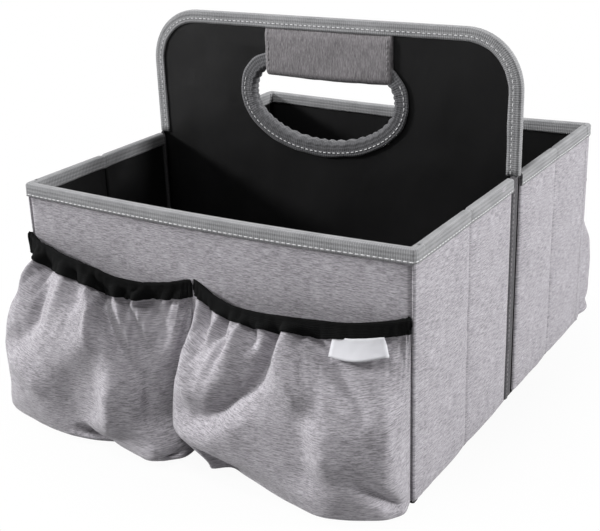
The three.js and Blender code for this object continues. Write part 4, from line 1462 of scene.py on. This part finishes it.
def divider_tape():
    path = divider_edge(0)
    ways = outward(path)
    section = folded_section(divider_tape_out, DIVIDER_TAPE_FACE)

    def at(k, j):
        x, z = path[int(k)]
        way_x, way_z = ways[int(k)]
        across, up = section[int(j)]
        low = -up / DIVIDER_TAPE_FACE
        waver = unevenness(x, z, j, DIVIDER_WAVER_SIZE, 1.0)
        inwards = up + DIVIDER_WAVER * waver * low
        aside = DIVIDER_BULGE * waver * low + TAPE_LIFT * over_sleeve(x) * low * (way_z > SQUARE_ON)
        return (x + way_x * inwards, -across - math.copysign(aside, across), z + way_z * inwards)

    tape = grid_sheet("divider_binding", binding_tape, range(len(path))[::-1], range(len(section)), at)
    thicken(tape, TAPE_THICKNESS)
    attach(tape, "spine")
    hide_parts("divider_tape")
    inset = DIVIDER_TAPE_FACE - DIVIDER_STITCH_INSET
    for facing, name in ((-1, "front"), (1, "back")):
        line = []
        for (x, z), (way_x, way_z) in zip(path, ways):
            lift = TAPE_LIFT * over_sleeve(x) * (way_z > SQUARE_ON) * inset / DIVIDER_TAPE_FACE
            line.append((x - way_x * inset, facing * (divider_tape_out + lift), z - way_z * inset))
        thread = stitch_row(f"divider_stitches_{name}", line, [(0, facing, 0)] * len(line))
        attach(thread, "spine")


divider_tape()
print("divider tape stands", round(divider_tape_out * 1000, 2), "mm off the middle")

# %% [markdown]
# ### The groove between the halves
# Below the rim the divider tape's seam allowance lies flat and makes the ribbed floor of the groove between
# the two halves of the box, with one raised and stitched ridge. The floor is coloured far darker than the
# divider's tape: this is painted shade, where the groove lies in shadow. Each half's wall hangs on a strip
# of cloth that is sewn into this groove, and that strip is given the same painted shade.

# %% Tape in the groove and hinge cloths
GROOVE_HALF = divider_high.y
GROOVE_FLAT = -0.0004
GROOVE_THICKNESS, HINGE_THICKNESS = 0.0005, 0.0006
GROOVE_WAVE, GROOVE_WAVE_SIZE = 0.0003, 0.018
HINGE_SECTION = [(0.1353, 0.0058), (0.1356, 0.0066), (0.1362, 0.0072), (0.1372, 0.0076), (0.1384, 0.0082)]
HINGE_LINE = (0.1346, 0.0062, 0.0078)
RIDGE_HALF = 0.0026
RIDGE_RISE = 0.0006
RIDGE_MIDDLE = -0.0024
ridge_section = [
    (-RIDGE_HALF, 0.0), (-RIDGE_HALF + 0.0002, RIDGE_RISE - 0.0002),
    (-RIDGE_HALF + 0.0008, RIDGE_RISE), (0.0, RIDGE_RISE + 0.0002),
]
ridge_section += [(-y, out) for y, out in reversed(ridge_section[:-1])]
ridge_start, ridge_end = RIDGE_MIDDLE - RIDGE_HALF - 0.0004, RIDGE_MIDDLE + RIDGE_HALF + 0.0004
groove_section = [(-GROOVE_HALF, GROOVE_FLAT), (ridge_start, -0.0003)]
groove_section += [(RIDGE_MIDDLE + y, out) for y, out in ridge_section]
groove_section += [(ridge_end, -0.0003), (0.0050, GROOVE_FLAT), (GROOVE_HALF, GROOVE_FLAT)]


def painted_shade_groove_tape(side):
    mirror = (SIDES[side], 1)

    def at(k, z):
        y, out = groove_section[int(k)]
        uneven = GROOVE_WAVE * unevenness(5, y, z, GROOVE_WAVE_SIZE, 3.3 * mirror[0])
        return (GROOVE_FACE + out + uneven * (out > 0), y + uneven * (out > 0), z)

    columns = range(len(groove_section))
    rows = spread(foot, ledge + 0.0004, 50)
    strip = grid_sheet(f"{side}_painted_shade_groove_tape", painted_shade_binding, columns, rows, at, mirror)
    thicken(strip, GROOVE_THICKNESS)
    # painted shade: the groove's stitches use the grey thread, darker than the pale thread of the other
    # tape stitches, for the shadow in the groove
    path = [
        (GROOVE_FACE + RIDGE_RISE + 0.0001, RIDGE_MIDDLE - 0.0002, z)
        for z in spread(foot + 0.002, ledge - 0.004, 40)
    ]
    name = f"{side}_groove_stitches"
    outwards = mirrored([(1, 0, 0)] * len(path), mirror)
    thread = stitch_row(name, mirrored(path, mirror), outwards, grey_thread)
    for piece in (strip, thread):
        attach(piece, "spine")
    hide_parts("divider_tape")


def hinge_cloth(half, side):
    """The side cloth's own edge, turned in and sewn to the groove; it is coloured with the groove's painted
    shade and not with the heather cloth.
    """
    mirror = (SIDES[side], HALVES[half])

    def at(k, z):
        return (*HINGE_SECTION[int(k)], z)

    name, rows = f"{half}_{side}_hinge_cloth", spread(foot, wall_top, 12)
    cloth = grid_sheet(name, painted_shade_binding, range(len(HINGE_SECTION)), rows, at, mirror)
    thicken(cloth, HINGE_THICKNESS)
    out, near, far = HINGE_LINE
    start, end = mirrored([(out, near, foot), (out, far, foot)], mirror)
    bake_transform(cloth)


hole_binding = ribbed_tape("hole_tape", (0.036, 0.036, 0.039), (0.150, 0.150, 0.158))
# painted shade: the groove's tape and the hinge cloths are coloured several times darker than the binding
# tape, standing in for the shadow in the groove
painted_shade_binding = ribbed_tape("painted_shade_groove_tape", (0.024, 0.023, 0.026), (0.082, 0.078, 0.084))
for side in SIDES:
    painted_shade_groove_tape(side)
    for half in HALVES:
        hinge_cloth(half, side)
print("groove:", round(2 * GROOVE_HALF * 1000, 1), "mm wide")

# %% [markdown]
# ## Tape round the hand hole
# A straight tape bent round a tight hole puckers: its inner fold is too long for the curve and gathers into
# small scallops. An even ring would look moulded, so the section is swept round the hole by a function that
# adds the pucker, strongest at the fold.

# %% Hand hole tape
HOLE_TAPE_FACE = 0.0100
HOLE_STITCH_INSET = 0.0030
HOLE_COLUMNS = 240
PUCKERS = 46
PUCKER_DEPTH = 0.00055
PUCKER_THICKNESS = 0.0003
HOLE_WAVER = 0.0006
HOLE_STITCH_STAND = 0.0010
HOLE_STITCH_RISE = 0.010


def hole_tape():
    count, half = HOLE_COLUMNS, divider_tape_out
    edge = hole_edge(0.0, count)
    ways = -outward(edge + edge[:1])[:count]
    section = folded_section(half, HOLE_TAPE_FACE)

    def at(k, j):
        x, z = edge[int(k)]
        way_x, way_z = ways[int(k)]
        across, up = section[int(j)]
        share = -up / HOLE_TAPE_FACE
        near = (1 - share) ** 2
        pucker = math.sin(2 * math.pi * PUCKERS * k / count + 1.3 * math.sin(k * 0.21))
        waver = HOLE_WAVER * noise.noise(Vector((k * 0.11, 0, 4))) * share
        inwards = -up + PUCKER_DEPTH * pucker * near + waver
        thick = PUCKER_THICKNESS * (pucker + 1) * near
        side = math.copysign(abs(across) + thick * min(abs(across) / half, 1), across)
        return (x + way_x * inwards, side, z + way_z * inwards)

    tape = grid_sheet("hand_hole_binding", hole_binding, range(count), range(len(section)), at, closed=True)
    thicken(tape, TAPE_THICKNESS, 1.0)
    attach(tape, "spine")
    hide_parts("handle_hole_tape")
    inset = HOLE_TAPE_FACE - HOLE_STITCH_INSET
    start = count - count // 6
    ring = [(*edge[k % count], *ways[k % count]) for k in range(start, start + count)]
    for facing, name in ((-1, "front"), (1, "back")):
        line = [
            (x + way_x * inset, facing * (half + HOLE_STITCH_STAND), z + way_z * inset)
            for x, z, way_x, way_z in ring
            if z < HOLE_WIDE + HOLE_STITCH_RISE
        ]
        thread = stitch_row(f"hand_hole_stitches_{name}", line, [(0, facing, 0)] * len(line))
        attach(thread, "spine")


hole_tape()
print("puckers round the hand hole:", PUCKERS)

# %% [markdown]
# ## The handle sleeve
# The sleeve is a darker band of heather cloth, caught under the top tape, that passes under the bar above
# the hole and comes up the back, sewn down along both side edges. A box round the bar would look stiff, so
# the band is a folded section that swells a little off the bar and sags in its middle.

# %% Handle sleeve
SLEEVE_CAUGHT = 0.0015
SLEEVE_SWELL = 0.0011
SLEEVE_SAG = 0.0010
SLEEVE_THICKNESS = 0.0009
SLEEVE_EDGE, SLEEVE_EDGE_SHARE = 0.0016, 0.35
SLEEVE_PRESSED = 0.36
SLEEVE_WAVE, SLEEVE_SAG_WAVE = 0.0003, 0.0005
SLEEVE_COLUMNS = 40
SLEEVE_STITCH_INSET = 0.0030


def handle_sleeve():
    half = sleeve_high.x
    top = divider_top - DIVIDER_TAPE_FACE + SLEEVE_CAUGHT
    low = sleeve_low.z
    out = sleeve_high.y
    legs = spread(top, low + out, 12)
    bend = [math.pi / 2 * step / 6 for step in range(1, 7)]
    section = [(out, z) for z in legs]
    section += [(out * math.cos(angle), low + out - out * math.sin(angle)) for angle in bend]
    section += [(-y, z) for y, z in reversed(section[:-1])]

    def at(x, j):
        y, z = section[int(j)]
        edge = rolled(half - abs(x), SLEEVE_EDGE)
        loose = math.sin(math.pi * within((top - z) / (top - low - out)) * 0.5)
        swell = SLEEVE_SWELL * loose * (1 - (x / half) ** 4)
        swell += SLEEVE_WAVE * unevenness(x, y, z, 0.016, 6.0)
        caught = 1 - smooth_step(0.0, 0.006, top - z)
        reach = SLEEVE_EDGE_SHARE + (1 - SLEEVE_EDGE_SHARE) * edge
        reach *= 1 - SLEEVE_PRESSED * caught
        sag = SLEEVE_SAG * (1 - (x / half) ** 2) * loose
        sag += SLEEVE_SAG_WAVE * unevenness(x, 0, 0, 0.02, 8.0) * loose
        return (x + SLEEVE_SHIFT, y * reach + math.copysign(swell, y) * min(abs(y) / out, 1), z - sag)

    columns = edged(-half, half, SLEEVE_COLUMNS, 0.002)
    rows = range(len(section))
    sleeve = grid_sheet("handle_wrap", sleeve_cloth, columns, rows, at, turned_cloth=True)
    thicken(sleeve, SLEEVE_THICKNESS)
    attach(sleeve, "spine")
    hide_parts("handle_sleeve")
    for facing, face in ((1, "back"), (-1, "front")):
        for edge in (-1, 1):
            x = edge * (half - SLEEVE_STITCH_INSET)
            line = []
            for z in spread(top - 0.003, low + out, 20):
                j = min(rows, key=lambda k: abs(section[k][1] - z) + (section[k][0] * facing < 0))
                line.append((x + SLEEVE_SHIFT, at(x, j)[1] + facing * 0.0002, z))
            name = f"sleeve_stitches_{face}_{'left' if edge < 0 else 'right'}"
            thread = stitch_row(name, line, [(0, facing, 0)] * len(line), grey_thread)
            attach(thread, "spine")


sleeve_cloth = heather_cloth("sleeve_cloth", (0.116, 0.109, 0.115), (0.305, 0.289, 0.300))
handle_sleeve()
print("sleeve:", round(2 * sleeve_high.x, 4), "wide")

# %% [markdown]
# ## Cloth under the floor
# A thin black cloth closes the bottom and is seen between the pockets' feet. In the real box it crumples
# when a half is folded. Here each half has its own flat sheet.

# %% Cloth under the floor
UNDERSIDE_FACE = 0.00040
UNDERSIDE_INSET = 0.0015
UNDERSIDE_THICKNESS = 0.0003
UNDERSIDE_COLUMNS, UNDERSIDE_ROWS = 30, 18
UNDERSIDE_START = 0.0002


def base_sheet(half):
    mirror = (1, HALVES[half])
    half_width, reach = wall_out - UNDERSIDE_INSET, panel_out - UNDERSIDE_INSET

    def at(x, y):
        edge = min(half_width - abs(x), reach - y)
        return (x, y, UNDERSIDE_FACE - 0.0001 * (1 - rolled(edge, 0.002)))

    columns = spread(-half_width, half_width, UNDERSIDE_COLUMNS)
    rows = spread(UNDERSIDE_START, reach, UNDERSIDE_ROWS)
    sheet = grid_sheet(f"{half}_underside", base_cloth, columns, rows, at, mirror)
    thicken(sheet, UNDERSIDE_THICKNESS)
    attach(sheet, "spine")
    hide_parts(f"{half}_base_cloth")
    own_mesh(sheet)


for half in HALVES:
    base_sheet(half)
print("cloth under each half:", round(2 * (wall_out - UNDERSIDE_INSET), 4), "wide")

# %% [markdown]
# ## Boards
# The stiffening boards are hidden inside the cloth and the floor boards are plain and stiff, so all of them
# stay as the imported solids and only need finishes. They could be unwrapped for the cloth map, but a board
# has no threads to follow, so these finishes use the object's own co-ordinates, in metres.

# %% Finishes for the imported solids
def solid_place(finish, scale):
    place = finish.node("ShaderNodeTexCoord", output="Object")
    return finish.node("ShaderNodeMapping", {}, {"Vector": place, "Scale": scale})


def solid_noise(finish, scale, detail):
    inputs = {"Vector": solid_place(finish, scale), "Scale": 1.0, "Detail": detail}
    return finish.node("ShaderNodeTexNoise", {}, inputs)


def board_finish():
    finish = Finish("stiffener_board")
    fibres = solid_noise(finish, (600.0, 600.0, 90.0), 3.0)
    cloudy = solid_noise(finish, (25.0, 25.0, 25.0), 2.0)
    shade = fibres * 0.6 + cloudy * 0.4
    finish.surface_inputs(
        Base_Color=blend_colours(finish, shade, (0.085, 0.078, 0.066), (0.140, 0.128, 0.110)),
        Roughness=0.88,
        Normal=raised(finish, fibres, 0.3, 0.0005),
    )
    return finish.material


def covered_board():
    finish = Finish("base_lining")
    threads = solid_noise(finish, (1500.0, 1500.0, 1500.0), 2.0)
    soft = solid_noise(finish, (22.0, 14.0, 22.0), 4.0)
    shade = threads * 0.4 + soft * 0.6
    finish.surface_inputs(
        Base_Color=blend_colours(finish, shade, (0.0055, 0.0055, 0.0058), (0.0110, 0.0110, 0.0116)),
        Roughness=0.55,
        Specular_IOR_Level=0.35,
        Normal=raised(finish, soft * 0.7 + threads * 0.1, 0.5, 0.003),
    )
    return finish.material


board = board_finish()
base_lining = covered_board()
for name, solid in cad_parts.items():
    finish = base_lining if "base_board" in name else board
    if not solid.data.materials:
        solid.data.materials.append(finish)
    for slot in solid.material_slots:
        slot.material = finish
print("packed solids finished:", len(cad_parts))

# %% [markdown]
# ## Floor, light and backdrop
# The photograph has a pure white ground and almost no shadow. Brighter lamps could burn the floor out, and
# the cloth with it. Instead the floor shows mostly plain white to the camera and keeps a little of its lit
# surface, so the box still stands on a soft shadow. For the light that it throws back on the box it is
# grey, so the folds stay dark.

# %% Floor
WHITE_NEAR = 0.86
WHITE_GAIN = 0.55
FLOOR_GREY = 0.45
FLOOR_REACH = 6.0
FLOOR_DROP = 0.0002


def white_rays(finish):
    """One for the camera's own rays and for those that metal or glass would send on, and zero for light."""
    names = ("Is Camera Ray", "Is Glossy Ray", "Is Transmission Ray")
    camera, glossy, clear = (finish.node("ShaderNodeLightPath", output=name) for name in names)
    return camera + glossy + clear


def add_floor():
    corners = [(-FLOOR_REACH, -FLOOR_REACH), (FLOOR_REACH, -FLOOR_REACH)]
    corners += [(FLOOR_REACH, FLOOR_REACH), (-FLOOR_REACH, FLOOR_REACH)]
    finish = Finish("floor_white")
    floor = mesh_object("floor", [(x, y, 0) for x, y in corners], [(0, 1, 2, 3)], corners, finish.material)
    grey = (FLOOR_GREY, FLOOR_GREY, FLOOR_GREY, 1)
    finish.surface_inputs(Base_Color=grey, Roughness=0.9, Specular_IOR_Level=0.0)
    place = finish.node("ShaderNodeTexCoord", output="Object")
    distance = finish.node("ShaderNodeVectorMath", {"operation": "LENGTH"}, {0: place}, output="Value")
    share = white_rays(finish) * (distance * WHITE_GAIN + WHITE_NEAR)
    white = finish.node("ShaderNodeEmission", {}, {"Color": (1, 1, 1, 1), "Strength": 1.0})
    lit = Wire(finish, finish.surface.outputs[0])
    finish.end_in("Material Output", finish.node("ShaderNodeMixShader", {}, {0: share, 1: lit, 2: white}))
    floor.location.z = -FLOOR_DROP


add_floor()
print("the floor is", FLOOR_GREY, "grey for light and near white for the camera")

# %% [markdown]
# ## Light
# The photograph's studio light comes from large soft boxes. A plain bright sky alone would flatten the
# gathers, so the sky is dim and even, a large lamp on the right lights the side wall, a smaller one rakes
# across the pockets from the left so that their folds read, and one above lights the rims.

# %% Light
SKY_STRENGTH = 0.17
LAMPS = {
    "right_lamp": ((2.0, 0.75, 0.95), (0, 0, 0.08), 0.7, 62),
    "left_lamp": ((-2.3, -1.0, 1.1), (0, -0.1, 0.08), 0.40, 78),
    "top_lamp": ((-0.3, -0.7, 2.3), (0, -0.1, 0.08), 0.7, 36),
}


def add_lamp(name, place, aim, size, power):
    data = bpy.data.lights.new(name, "AREA")
    data.shape = "DISK"
    data.size = size
    data.energy = power
    lamp = bpy.data.objects.new(name, data)
    lamp.location = place
    lamp.rotation_euler = (Vector(aim) - Vector(place)).to_track_quat("-Z", "Y").to_euler()
    bpy.context.scene.collection.objects.link(lamp)


def add_sky():
    world = bpy.data.worlds.new("studio")
    bpy.context.scene.world = world
    finish = Finish("studio", world)
    dim = finish.node("ShaderNodeBackground", {}, {"Color": (1, 1, 1, 1), "Strength": SKY_STRENGTH})
    white = finish.node("ShaderNodeBackground", {}, {"Color": (1, 1, 1, 1), "Strength": 1.0})
    share = white_rays(finish)
    finish.end_in("World Output", finish.node("ShaderNodeMixShader", {}, {0: share, 1: dim, 2: white}))


add_sky()
for name, (place, aim, size, power) in LAMPS.items():
    add_lamp(name, place, aim, size, power)
bpy.context.scene.view_settings.view_transform = "Standard"
print("lamps:", ", ".join(LAMPS))
